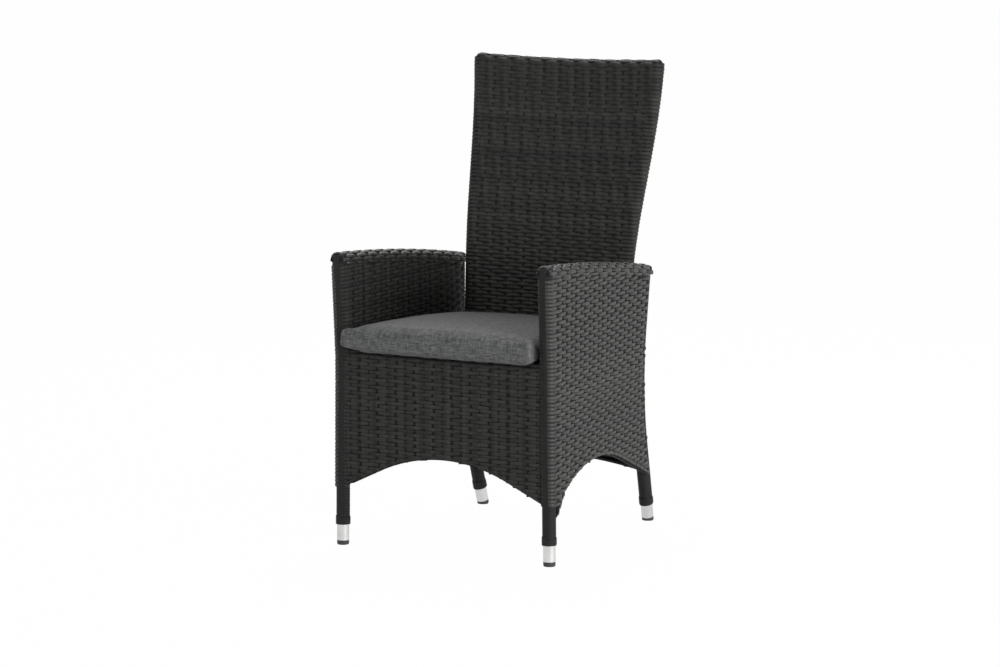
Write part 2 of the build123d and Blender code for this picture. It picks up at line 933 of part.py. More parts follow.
top_rail_route = Wire([across(top_rail_height, back_top_sag)])
low_rail_route = Wire([across(back_low_rail_height, 0)])
keep(
    cut(swept(top_rail_route, back_top_rail_radius, back_top_rail_radius - tube_wall), both_stiles),
    "back_top_rail",
)
keep(
    cut(swept(low_rail_route, back_low_rail_radius, back_low_rail_radius - tube_wall), both_stiles),
    "back_low_rail",
)


# Woven back: a sleeve round the whole frame, hollow between its two faces
def back_form(half, low, high, top_round, low_round):
    """The back's tapered, curved slab with a sagging, rounded top."""
    with BuildPart() as form:
        for level in range(back_spans + 1):
            height = low + level / back_spans * (high - low)
            end = at_height(stile_route, height)
            with BuildSketch(Plane.XY.offset(height)):
                with BuildLine(mode=Mode.PRIVATE) as middle:
                    ThreePointArc((-end.X, end.Y), (0, end.Y + setback(height)), (end.X, end.Y))
                SlotArc(middle.edges()[0], 2 * half)
        loft()
        top_half = end.X + half
        with BuildSketch(Plane.XZ):
            with BuildLine():
                ThreePointArc((-top_half, high), (0, high - back_top_sag), (top_half, high))
                Polyline(
                    (top_half, high), (top_half, high + overrun), (-top_half, high + overrun), (-top_half, high)
                )
            make_face()
        extrude(amount=2 * overrun, both=True, mode=Mode.SUBTRACT)
        top_edges = form.edges().filter_by(lambda edge: edge.center().Z > high - 2 * back_top_sag)
        fillet(top_edges, radius=top_round)
        if low_round:
            fillet(form.edges().group_by(Axis.Z)[0], radius=low_round)
    return form.part


back_form_outer = back_form(
    back_skin_half, back_skin_low, overall_height, back_top_round, back_low_round
)
back_form_inner = back_form(
    back_skin_half - weave_thickness,
    back_skin_low + weave_thickness,
    overall_height - weave_thickness,
    back_top_round - weave_thickness,
    0,
)
stile_hole = swept(stile_route, stile_radius + fit_gap)
back_weave = cut(
    back_form_outer,
    back_form_inner,
    cut(stile_hole, between_heights(back_low_rail_height, 2 * overall_height)),
    cut(twin(stile_hole), between_heights(back_low_rail_height, 2 * overall_height)),
)
keep(back_weave, "back_weave")

# Torque tube, with flanged bushes that turn on the shoulder bolts
pivot = (pivot_line, pivot_height)


def across_chair(place, start, end, outer, inner=0.0):
    """A round pin, ring or tube across the chair, at a place seen from the side."""
    return bar(Vector(start, *place), Vector(end, *place), outer, inner)


torque_bore = torque_radius - torque_wall
bush_bore = pivot_bolt_radius + running_gap
bush_end = torque_half + bush_flange
keep(across_chair(pivot, -torque_half, torque_half, torque_radius, torque_bore), "torque_tube")
bush_left = fused(
    across_chair(pivot, torque_half, bush_end, torque_radius, bush_bore),
    across_chair(pivot, bush_end - bush_length, torque_half, torque_bore, bush_bore),
)
keep(fused(bush_left, twin(bush_left)), "pivot_bushes")

# Recline pivots: a plate on each side rail, with its nut and shoulder bolt
plate_top = on_seat(0, pivot_depth, rail_rise).Z + pivot_plate_rise
plate_face = pivot_plate_half + pivot_plate_thickness
nut_face = plate_face + pivot_nut_height

with BuildPart() as pivot_plate:
    with BuildSketch(Plane.YZ.offset(pivot_plate_half)):
        with Locations(pivot):
            Circle(pivot_plate_foot)
        with Locations((pivot_line - pivot_plate_lead, plate_top)):
            Rectangle(pivot_plate_width, pivot_plate_thickness, align=(Align.CENTER, Align.MAX))
        make_hull()
        with Locations(pivot):
            Circle(pivot_bolt_radius, mode=Mode.SUBTRACT)
    extrude(amount=pivot_plate_thickness)
    add(side_rail_core, mode=Mode.SUBTRACT)
    add(rear_wrap_core, mode=Mode.SUBTRACT)

keep(fused(pivot_plate.part, twin(pivot_plate.part)), "pivot_brackets")

with BuildPart() as pivot_nut:
    with BuildSketch(Plane.YZ.offset(plate_face)):
        with Locations(pivot):
            RegularPolygon(pivot_nut_across / 2, 6, major_radius=False)
            Circle(pivot_bolt_radius, mode=Mode.SUBTRACT)
    extrude(amount=pivot_nut_height)

keep(fused(pivot_nut.part, twin(pivot_nut.part)), "pivot_nuts")

with BuildPart() as pivot_bolt:
    with BuildSketch(Plane.YZ.offset(pivot_plate_half - pivot_bolt_reach)):
        with Locations(pivot):
            Circle(pivot_bolt_radius)
    extrude(amount=pivot_bolt_reach + pivot_plate_thickness + pivot_nut_height)
    with BuildSketch(Plane.YZ.offset(nut_face)):
        with Locations(pivot):
            RegularPolygon(pivot_head_across / 2, 6, major_radius=False)
    extrude(amount=pivot_head_height)

keep(fused(pivot_bolt.part, twin(pivot_bolt.part)), "pivot_bolts")

# Lever: two plates welded under the torque tube, with the gas spring's rear pin between them
spring_height = pivot_height - lever_length
rear_pin = (pivot_line, spring_height)
fork_inner = eye_half + fork_gap
fork_outer = fork_inner + lever_plate

with BuildPart() as fork_plate:
    with BuildSketch(Plane.YZ.offset(fork_inner)):
        with Locations(pivot):
            Circle(lever_hub_radius)
        with Locations(rear_pin):
            Circle(lever_tip_radius)
        make_hull()
        with Locations(pivot):
            Circle(torque_radius, mode=Mode.SUBTRACT)
        with Locations(rear_pin):
            Circle(spring_pin_radius, mode=Mode.SUBTRACT)
    extrude(amount=lever_plate)

keep(fused(fork_plate.part, twin(fork_plate.part)), "lever_fork")

rear_pin_head = across_chair(
    rear_pin, fork_outer, fork_outer + spring_pin_head_height, spring_pin_head
)
keep(
    fused(
        across_chair(rear_pin, -fork_outer, fork_outer, spring_pin_radius),
        rear_pin_head,
        twin(rear_pin_head),
    ),
    "spring_rear_pin",
)

# Gas spring: its stations along the chair, then cylinder, end eye, guide, rod and piston
pin_line = front_line + cross_rail_depth
front_pin = (pin_line, spring_height)
cylinder_rear = pivot_line - cylinder_tail
cylinder_front = cylinder_rear - cylinder_length
cylinder_bore = cylinder_radius - cylinder_wall
rod_tip = pin_line - head_slot_end
piston_front = cylinder_front + piston_lead
piston_rear = piston_front + piston_length
bore_end = piston_rear - release_pin_bottom


def along_chair(front, rear, outer, inner=0.0):
    """A round bar or tube on the gas spring's line, from one depth to another."""
    return bar(Vector(0, front, spring_height), Vector(0, rear, spring_height), outer, inner)


keep(along_chair(cylinder_front, cylinder_rear, cylinder_radius, cylinder_bore), "spring_cylinder")
end_eye = cut(
    fused(
        across_chair(rear_pin, -eye_half, eye_half, eye_radius),
        along_chair(cylinder_rear, pivot_line, eye_neck_radius),
        along_chair(cylinder_rear - plug_length, cylinder_rear, cylinder_bore),
    ),
    across_chair(rear_pin, -overrun, overrun, spring_pin_radius + eye_slack),
)
keep(end_eye, "end_eye")
keep(
    along_chair(
        cylinder_front, cylinder_front + guide_length, cylinder_bore, rod_radius + running_gap
    ),
    "rod_guide",
)
keep(
    cut(
        along_chair(rod_tip, piston_rear, rod_radius),
        along_chair(rod_tip - overrun, bore_end, release_pin_radius + running_gap),
    ),
    "spring_rod",
)
keep(
    along_chair(piston_front, piston_rear, cylinder_bore - running_gap, rod_radius),
    "spring_piston",
)
keep(
    along_chair(rod_tip - release_pin_reach, bore_end - release_pin_play, release_pin_radius),
    "release_pin",
)

# Release head: a block on the rod's tip, slotted for the finger and hung on two trunnion pins
trunnion_hole = across_chair(
    front_pin, head_slot_half, overrun, spring_pin_radius + running_gap
)
rod_hole = along_chair(rod_tip, rod_tip + overrun, rod_radius)

with BuildPart() as release_head:
    with BuildSketch(Plane.XY.offset(spring_height - head_height / 2)):
        with Locations((0, pin_line - head_front)):
            Rectangle(
                2 * head_half, head_front + head_rear, align=(Align.CENTER, Align.MIN)
            )
            Rectangle(
                2 * head_slot_half,
                head_front - head_slot_end,
                align=(Align.CENTER, Align.MIN),
                mode=Mode.SUBTRACT,
            )
    extrude(amount=head_height)
    add(rod_hole, mode=Mode.SUBTRACT)
    add(trunnion_hole, mode=Mode.SUBTRACT)
    add(twin(trunnion_hole), mode=Mode.SUBTRACT)

keep(release_head.part, "release_head")

# Spring bracket: two ears and a web under the cross rail, with the trunnion pins in it
cross_rail_middle = on_seat(0, cross_rail_depth, cross_rise)
bracket_line = cross_rail_middle.Y
bracket_top = cross_rail_middle.Z - cross_rail_radius + bracket_bite
ear_inner = head_half + fit_gap
ear_outer = ear_inner + bracket_plate
release_axis = (pin_line - release_lead, spring_height + release_rise)
shaft_bore = release_shaft_radius + running_gap
cross_rail_core = bar(
    on_seat(-hanger_half - hanger_top_width, cross_rail_depth, cross_rise),
    on_seat(hanger_half + hanger_top_width, cross_rail_depth, cross_rise),
    cross_rail_radius,
)

with BuildPart() as bracket_ear:
    with BuildSketch(Plane.YZ.offset(ear_inner)):
        with Locations(front_pin):
            Circle(bracket_foot_radius)
        with Locations(release_axis):
            Circle(release_boss_radius)
        with Locations((bracket_line, bracket_top)):
            Rectangle(bracket_top_width, bracket_plate, align=(Align.CENTER, Align.MAX))
        make_hull()
        with Locations(front_pin):
            Circle(spring_pin_radius, mode=Mode.SUBTRACT)
        with Locations(release_axis):
            Circle(shaft_bore, mode=Mode.SUBTRACT)
    extrude(amount=bracket_plate)

with BuildPart() as bracket_web:
    with BuildSketch(Plane.YZ.offset(-ear_outer)):
        with Locations((bracket_line, bracket_top)):
            Rectangle(bracket_top_width, bracket_plate, align=(Align.CENTER, Align.MAX))
    extrude(amount=2 * ear_outer)

spring_bracket = cut(
    fused(bracket_ear.part, twin(bracket_ear.part), bracket_web.part), cross_rail_core
)
keep(spring_bracket, "spring_bracket")

trunnion_pin = fused(
    across_chair(front_pin, head_slot_half + trunnion_inset, ear_outer, spring_pin_radius),
    across_chair(front_pin, ear_outer, ear_outer + spring_pin_head_height, spring_pin_head),
)
keep(fused(trunnion_pin, twin(trunnion_pin)), "spring_front_pins")

# Release lever: a shaft bent down beside the right leg, its finger, grip and hanger plate
shaft_foot = release_axis[1] - release_arm_drop

with BuildLine() as shaft_axis:
    FilletPolyline(
        (ear_outer + shaft_end, *release_axis),
        (-release_arm_half, *release_axis),
        (-release_arm_half, release_axis[0], shaft_foot),
        radius=release_bend_radius,
    )

release_shaft = swept(shaft_axis.wires()[0], release_shaft_radius)
keep(release_shaft, "release_shaft")

finger_rear = rod_tip - release_pin_reach - fit_gap
finger_foot = spring_height - finger_tip

with BuildPart() as release_finger:
    with BuildSketch(Plane.YZ.offset(-finger_half)) as finger_shape:
        with Locations((finger_rear - finger_width / 2, release_axis[1])):
            Rectangle(
                finger_width, release_axis[1] - finger_foot, align=(Align.CENTER, Align.MAX)
            )
        fillet(finger_shape.vertices().group_by(Axis.Z)[0], radius=finger_round)
        with Locations(release_axis):
            Circle(release_hub_radius)
            Circle(release_shaft_radius, mode=Mode.SUBTRACT)
    extrude(amount=2 * finger_half)

keep(release_finger.part, "release_finger")

with BuildPart() as release_grip:
    with BuildSketch(Plane.XY.offset(shaft_foot - grip_end_wall)):
        with Locations((-release_arm_half, release_axis[0])):
            Circle(grip_radius)
    extrude(amount=grip_length)
    fillet(release_grip.edges().filter_by(GeomType.CIRCLE), radius=grip_round)
    add(release_shaft, mode=Mode.SUBTRACT)

keep(release_grip.part, "release_grip")

with BuildPart() as release_hanger:
    with BuildSketch(Plane.YZ.offset(-hanger_half)):
        with Locations(release_axis):
            Circle(release_boss_radius)
        with Locations((bracket_line, bracket_top)):
            Rectangle(hanger_top_width, bracket_plate, align=(Align.CENTER, Align.MAX))
        make_hull()
        with Locations(release_axis):
            Circle(shaft_bore, mode=Mode.SUBTRACT)
    extrude(amount=bracket_plate)
    add(cross_rail_core, mode=Mode.SUBTRACT)

keep(release_hanger.part, "release_hanger")

# Seat cushion: loose on the deck, bowed in front, drawn in at the sides and crowned on top
nose_run = (cushion_nose + cushion_low_round * sin(seat_tilt)) / cos(seat_tilt)
nose_corner = cushion_front_bow - nose_run
cushion_middle = (cushion_rear_depth + nose_corner) / 2
cushion_waist = (cushion_front_half + cushion_rear_half) / 2 - cushion_side_draw
crown_radius = (cushion_front_half ** 2 + cushion_crown ** 2) / (2 * cushion_crown)
crown_centre = on_seat(0, cushion_middle, fit_gap + cushion_thickness - crown_radius)

with BuildPart() as seat_cushion:
    with BuildSketch(seat_plane.offset(fit_gap)) as cushion_plan:
        with BuildLine():
            ThreePointArc(
                (-cushion_front_half, nose_corner), (0, -nose_run), (cushion_front_half, nose_corner)
            )
            ThreePointArc(
                (cushion_front_half, nose_corner),
                (cushion_waist, cushion_middle),
                (cushion_rear_half, cushion_rear_depth),
            )
            ThreePointArc(
                (cushion_rear_half, cushion_rear_depth),
                (0, cushion_rear_depth - cushion_rear_draw),
                (-cushion_rear_half, cushion_rear_depth),
            )
            ThreePointArc(
                (-cushion_rear_half, cushion_rear_depth),
                (-cushion_waist, cushion_middle),
                (-cushion_front_half, nose_corner),
            )
        make_face()
        fillet(cushion_plan.vertices(), radius=cushion_corner)
    extrude(amount=cushion_thickness)
    with Locations(crown_centre):
        Sphere(crown_radius, mode=Mode.INTERSECT)
    top_face = seat_cushion.faces().sort_by(Axis.Z)[-1]
    fillet(top_face.edges(), radius=cushion_top_round)
    low_face = seat_cushion.faces().sort_by(Axis.Z)[0]
    fillet(low_face.edges(), radius=cushion_low_round)

keep(seat_cushion.part, "seat_cushion")
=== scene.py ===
import json
import random
from math import cos, pi, radians, sin

import bpy
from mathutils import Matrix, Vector
from mathutils.bvhtree import BVHTree

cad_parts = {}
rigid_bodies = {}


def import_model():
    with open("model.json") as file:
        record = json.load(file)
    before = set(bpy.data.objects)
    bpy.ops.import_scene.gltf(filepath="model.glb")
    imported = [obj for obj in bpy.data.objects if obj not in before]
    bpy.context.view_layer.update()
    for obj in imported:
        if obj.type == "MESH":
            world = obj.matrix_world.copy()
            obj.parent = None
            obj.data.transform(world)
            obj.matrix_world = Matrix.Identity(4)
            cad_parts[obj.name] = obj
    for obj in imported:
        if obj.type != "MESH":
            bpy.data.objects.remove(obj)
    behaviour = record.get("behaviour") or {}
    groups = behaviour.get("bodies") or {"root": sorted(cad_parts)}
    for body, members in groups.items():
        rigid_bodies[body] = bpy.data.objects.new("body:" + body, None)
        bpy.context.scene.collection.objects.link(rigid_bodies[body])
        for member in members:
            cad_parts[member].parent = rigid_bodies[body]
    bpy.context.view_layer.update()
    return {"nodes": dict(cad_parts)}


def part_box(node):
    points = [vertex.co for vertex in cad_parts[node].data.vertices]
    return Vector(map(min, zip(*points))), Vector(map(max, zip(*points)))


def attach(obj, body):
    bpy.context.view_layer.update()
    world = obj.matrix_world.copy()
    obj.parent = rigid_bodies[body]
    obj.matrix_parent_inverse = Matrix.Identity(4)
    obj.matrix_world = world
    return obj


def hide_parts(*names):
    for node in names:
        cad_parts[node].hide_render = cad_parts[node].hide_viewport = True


for left_over in list(bpy.data.objects):
    bpy.data.objects.remove(left_over)

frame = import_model()

bl_info = {
    "name": "Reclining woven garden armchair",
    "version": (1, 0, 0),
    "blender": (4, 5, 0),
    "location": "3D View > Sidebar > Armchair",
    "description": "Strand weave, wound posts, padded seat and finishes of a reclining garden armchair",
    "category": "Object",
}

SIDES = (("left", 1), ("right", -1))  # the sitter's
ALONG, ACROSS, DOWN = Vector((0, 1, 0)), Vector((1, 0, 0)), Vector((0, 0, -1))
BESIDE, AHEAD, BEHIND, ABOVE, ABOVE_ARM = 0.6, -0.2, 0.8, 1.3, 1.0  # where rays start, clear of their surface
RAY = 0.5


# Sizes and colours that can be changed
class ArmchairWeave(bpy.types.PropertyGroup):
    back_row: bpy.props.FloatProperty(
        name="Back row", description="Height of one strand row of the back", default=0.00876, unit="LENGTH"
    )
    back_stake: bpy.props.FloatProperty(
        name="Back stake", description="Distance between the back's hidden stakes", default=0.0210,
        unit="LENGTH",
    )
    apron_row: bpy.props.FloatProperty(
        name="Apron row", description="Height of one strand row of the aprons", default=0.0085, unit="LENGTH"
    )
    apron_stake: bpy.props.FloatProperty(
        name="Apron stake", description="Distance between the aprons' hidden stakes", default=0.0238,
        unit="LENGTH",
    )
    side_row: bpy.props.FloatProperty(
        name="Side row", description="Height of one strand row of the sides", default=0.0086, unit="LENGTH"
    )
    side_stake: bpy.props.FloatProperty(
        name="Side stake", description="Distance between the sides' hidden stakes", default=0.0240,
        unit="LENGTH",
    )
    thickness: bpy.props.FloatProperty(
        name="Strand thickness", description="Thickness of one flat strand", default=0.0026, unit="LENGTH"
    )
    post_pitch: bpy.props.FloatProperty(
        name="Post winding", description="Width of one turn of strand on the posts", default=0.0048,
        unit="LENGTH",
    )
    seed: bpy.props.IntProperty(name="Seed", description="Seed of the strands' shades", default=7, min=0)


class ArmchairCushion(bpy.types.PropertyGroup):
    shrink: bpy.props.FloatProperty(
        name="Shrink", description="How much smaller the pad starts before it is filled", default=0.004,
        unit="LENGTH",
    )
    travel: bpy.props.FloatProperty(
        name="Travel", description="How far a point of the cloth may move", default=0.008, unit="LENGTH"
    )
    fill: bpy.props.FloatProperty(name="Fill", description="How tight the pad is", default=0.7, min=0, max=1)


class ArmchairFinish(bpy.types.PropertyGroup):
    strand: bpy.props.FloatVectorProperty(
        name="Strand", description="Colour of the strand", default=(0.021, 0.022, 0.021), subtype="COLOR"
    )
    strand_light: bpy.props.FloatVectorProperty(
        name="Lighter strand", description="Colour of the palest strands", default=(0.044, 0.043, 0.039),
        subtype="COLOR",
    )
    fabric: bpy.props.FloatVectorProperty(
        name="Fabric", description="Colour of the seat fabric", default=(0.115, 0.117, 0.118), subtype="COLOR"
    )
    metal: bpy.props.FloatVectorProperty(
        name="Ferrule", description="Colour of the ferrules", default=(0.66, 0.66, 0.65), subtype="COLOR"
    )


# Small helpers for node trees
MIX_FIRST, MIX_SECOND, MIX_RESULT = 6, 7, 2  # a mix node's colour sockets


def clamped(value):
    """A value held between 0 and 1."""
    return min(1.0, max(0.0, value))


def socket(holder, name, kind, value=None, way="INPUT"):
    """A named socket on a tree's interface."""
    made = holder.interface.new_socket(name, in_out=way, socket_type="NodeSocket" + kind)
    if value is not None:
        made.default_value = value


def feed(tree, node, inputs):
    """Give a node's inputs their values, or links from other nodes' outputs."""
    for key, value in inputs.items():
        if isinstance(value, bpy.types.NodeSocket):
            tree.links.new(value, node.inputs[key])
        else:
            node.inputs[key].default_value = value


def put(tree, kind, inputs=None, **settings):
    """A node with its settings and inputs."""
    made = tree.nodes.new(kind)
    for key, value in settings.items():
        setattr(made, key, value)
    feed(tree, made, inputs or {})
    return made


def calc(tree, operation, first, second=0.5):
    """The result of a calculation on values or outputs; some kinds read only the first."""
    return put(tree, "ShaderNodeMath", {0: first, 1: second}, operation=operation).outputs[0]


# Shared effects for the materials
def colour_drift():
    """A group that drifts between two colours in soft patches of a given size."""
    group = bpy.data.node_groups.new("colour drift", "ShaderNodeTree")
    socket(group, "Colour", "Color", (0.5, 0.5, 0.5, 1))
    socket(group, "Second colour", "Color", (0.3, 0.3, 0.3, 1))
    socket(group, "Patch scale", "Float", 40.0)
    socket(group, "Amount", "Float", 0.5)
    socket(group, "Colour", "Color", way="OUTPUT")
    start = put(group, "NodeGroupInput").outputs
    noise = put(group, "ShaderNodeTexNoise", {
        "Vector": put(group, "ShaderNodeTexCoord").outputs["Object"], "Scale": start["Patch scale"],
        "Detail": 4.0, "Roughness": 0.6,
    })
    spread = put(group, "ShaderNodeMapRange", {
        "Value": noise.outputs["Fac"], "From Min": 0.35, "From Max": 0.65,
    }).outputs["Result"]
    blend = put(group, "ShaderNodeMix", {
        "Factor": calc(group, "MULTIPLY", spread, start["Amount"]),
        MIX_FIRST: start["Colour"], MIX_SECOND: start["Second colour"],
    }, data_type="RGBA")
    put(group, "NodeGroupOutput", {"Colour": blend.outputs[MIX_RESULT]})
    return group


def fine_grain():
    """A group that gives a fine grain as a height and as a roughness."""
    group = bpy.data.node_groups.new("fine grain", "ShaderNodeTree")
    socket(group, "Grain scale", "Float", 600.0)
    socket(group, "Stretch", "Vector", (1, 1, 1))
    socket(group, "Roughness", "Float", 0.5)
    socket(group, "Spread", "Float", 0.1)
    socket(group, "Height", "Float", way="OUTPUT")
    socket(group, "Roughness", "Float", way="OUTPUT")
    start = put(group, "NodeGroupInput").outputs
    stretched = put(group, "ShaderNodeVectorMath", {
        0: put(group, "ShaderNodeTexCoord").outputs["Object"], 1: start["Stretch"],
    }, operation="MULTIPLY")
    grain = put(group, "ShaderNodeTexNoise", {
        "Vector": stretched.outputs[0], "Scale": start["Grain scale"], "Detail": 3.0,
    }).outputs["Fac"]
    swing = calc(group, "MULTIPLY", calc(group, "SUBTRACT", grain, 0.5), start["Spread"])
    roughness = calc(group, "ADD", swing, start["Roughness"])
    put(group, "NodeGroupOutput", {"Height": grain, "Roughness": roughness})
    return group


GROUPS = {}


def shared(maker):
    """A shared node group, made the first time that it is asked for."""
    if maker.__name__ not in GROUPS:
        GROUPS[maker.__name__] = maker()
    return GROUPS[maker.__name__]


def drifting(tree, colour, second, patch, amount):
    """The shared colour drift with its own values."""
    return put(tree, "ShaderNodeGroup", {
        "Colour": colour, "Second colour": (*second, 1), "Patch scale": patch, "Amount": amount,
    }, node_tree=shared(colour_drift)).outputs["Colour"]


def grained(tree, scale, roughness, spread, stretch=(1, 1, 1)):
    """The outputs of the shared fine grain with its own values."""
    return put(tree, "ShaderNodeGroup", {
        "Grain scale": scale, "Stretch": stretch, "Roughness": roughness, "Spread": spread,
    }, node_tree=shared(fine_grain)).outputs


def bumped(tree, height, strength, distance):
    """A normal from a height."""
    return put(tree, "ShaderNodeBump", {
        "Height": height, "Strength": strength, "Distance": distance,
    }).outputs["Normal"]


def blank(name):
    """A new material with its tree and shader."""
    made = bpy.data.materials.new(name)
    made.use_nodes = True
    return made, made.node_tree, made.node_tree.nodes["Principled BSDF"]


def plain_finish(name, colour, second, roughness, metallic=0.0, patch=40.0, grain=600.0,
                 stretch=(1, 1, 1), bump=0.05, specular=0.5):
    """A finish with drifting colour, fine grain and a grained gloss."""
    made, tree, shader = blank(name)
    drift = drifting(tree, (*colour, 1), second, patch, 1.0)
    fine = grained(tree, grain, roughness, 0.16, stretch)
    feed(tree, shader, {
        "Base Color": drift,
        "Roughness": fine["Roughness"],
        "Normal": bumped(tree, fine["Height"], bump, 0.001),
        "Metallic": metallic,
        "Specular IOR Level": specular,
    })
    return made


def strand_finish(name, dark, pale, roughness, gloss, ridges=2.0):
    """Extruded strand: each length has its own shade, with fine lines along it."""
    made, tree, shader = blank(name)
    tone = put(tree, "ShaderNodeAttribute", attribute_name="tone")
    across = put(tree, "ShaderNodeAttribute", attribute_name="across")
    drift = drifting(tree, (*dark, 1), [0.72 * part for part in dark], 55.0, 0.8)
    blend = put(tree, "ShaderNodeMix", {
        0: tone.outputs["Fac"], MIX_FIRST: drift, MIX_SECOND: (*pale, 1),
    }, data_type="RGBA")
    wave = calc(tree, "COSINE", calc(tree, "MULTIPLY", across.outputs["Fac"], ridges * 2 * pi))
    fine = grained(tree, 420.0, roughness, 0.25)
    height = calc(tree, "ADD", calc(tree, "MULTIPLY", wave, 0.3), fine["Height"])
    feed(tree, shader, {
        "Base Color": blend.outputs[MIX_RESULT],
        "Roughness": fine["Roughness"],
        "Normal": bumped(tree, height, 0.35, 0.0005),
        "Specular IOR Level": gloss,
    })
    return made


def fabric_finish(name, colour, thread=0.0019):
    """Heathered outdoor cloth: flecks of three greys in a fine crossed weave."""
    made, tree, shader = blank(name)
    place = put(tree, "ShaderNodeTexCoord").outputs["Object"]
    slubs = []
    for stretch in ((60.0, 340.0, 340.0), (340.0, 60.0, 60.0)):
        stretched = put(tree, "ShaderNodeVectorMath", {0: place, 1: stretch}, operation="MULTIPLY")
        slubs.append(put(tree, "ShaderNodeTexNoise", {
            "Vector": stretched.outputs[0], "Scale": 1.0, "Detail": 3.0, "Roughness": 0.6,
        }).outputs["Fac"])
    flecks = calc(tree, "MULTIPLY", calc(tree, "ADD", *slubs), 0.5)
    ramp = put(tree, "ShaderNodeValToRGB", {"Fac": flecks})
    greys = ramp.color_ramp.elements
    greys.new(0.5)
    for grey, position, share in zip(greys, (0.38, 0.5, 0.62), (0.45, 1.0, 1.75)):
        grey.position = position
        grey.color = (*[share * part for part in colour], 1)
    drift = drifting(tree, ramp.outputs["Color"], [0.8 * part for part in colour], 30.0, 0.25)
    split = put(tree, "ShaderNodeSeparateXYZ", {0: place})
    x, y, z = (calc(tree, "SINE", calc(tree, "MULTIPLY", axis, 2 * pi / thread)) for axis in split.outputs)
    crossed = calc(tree, "ADD", calc(tree, "ADD", x, y), z)
    height = calc(tree, "ADD", calc(tree, "MULTIPLY", crossed, 0.25), flecks)
    feed(tree, shader, {
        "Base Color": drift,
        "Normal": bumped(tree, height, 0.5, 0.0006),
        "Roughness": 0.92,
        "Specular IOR Level": 0.25,
        "Sheen Weight": 0.15,
        "Sheen Roughness": 0.5,
    })
    return made


# Name, two colours, roughness and further settings of the finishes that no property sets
PLAIN = {
    # The backing is darker than any strand: painted shade for the dark gaps seen between the strands.
    "backing": ("shadowed backing", (0.012, 0.012, 0.012), (0.007, 0.007, 0.007), 0.8, {"specular": 0.15}),
    "glide": ("moulded glide", (0.020, 0.020, 0.021), (0.030, 0.030, 0.030), 0.55,
              {"patch": 120.0, "bump": 0.15}),
    "tube": ("powder coat", (0.030, 0.031, 0.032), (0.022, 0.022, 0.023), 0.48,
             {"grain": 1500.0, "bump": 0.25}),
    "steel": ("plated steel", (0.56, 0.56, 0.54), (0.46, 0.46, 0.45), 0.32, {"metallic": 1.0}),
    "spring": ("spring enamel", (0.018, 0.018, 0.019), (0.012, 0.012, 0.012), 0.28,
               {"patch": 18.0, "bump": 0.03}),
    "rod": ("polished rod", (0.70, 0.70, 0.70), (0.62, 0.62, 0.63), 0.16,
            {"metallic": 1.0, "stretch": (1, 0.05, 1), "bump": 0.02}),
    "bush": ("nylon bush", (0.55, 0.54, 0.50), (0.48, 0.47, 0.43), 0.45, {"patch": 90.0}),
    "grip": ("moulded grip", (0.016, 0.016, 0.016), (0.026, 0.026, 0.026), 0.62,
             {"grain": 900.0, "bump": 0.3}),
}
MATERIALS = {}


def finish(name):
    """A material by its plain name, made the first time that it is asked for."""
    if name in MATERIALS:
        return MATERIALS[name]
    colours = bpy.context.scene.armchair_finish
    strand, pale = tuple(colours.strand), tuple(colours.strand_light)
    dim = [0.7 * part for part in strand]
    makers = {
        "strand": lambda: strand_finish("woven strand", strand, pale, 0.55, 0.16),
        "side strand": lambda: strand_finish("side strand", strand, pale, 0.42, 0.38),
        "wound strand": lambda: strand_finish("wound strand", dim, strand, 0.55, 0.16, ridges=1.0),
        "fabric": lambda: fabric_finish("seat fabric", tuple(colours.fabric)),
        "ferrule": lambda: plain_finish(
            "satin ferrule", tuple(colours.metal), (0.57, 0.57, 0.57), 0.34, metallic=1.0, patch=25.0,
            grain=900.0, stretch=(1, 1, 0.04), bump=0.03,
        ),
    }
    if name in PLAIN:
        *looks, settings = PLAIN[name]
        MATERIALS[name] = plain_finish(*looks, **settings)
    else:
        MATERIALS[name] = makers[name]()
    return MATERIALS[name]


# Strands: lines on a surface, made into flat crowned bands that dip between stakes
STRAND_SIDES = 6


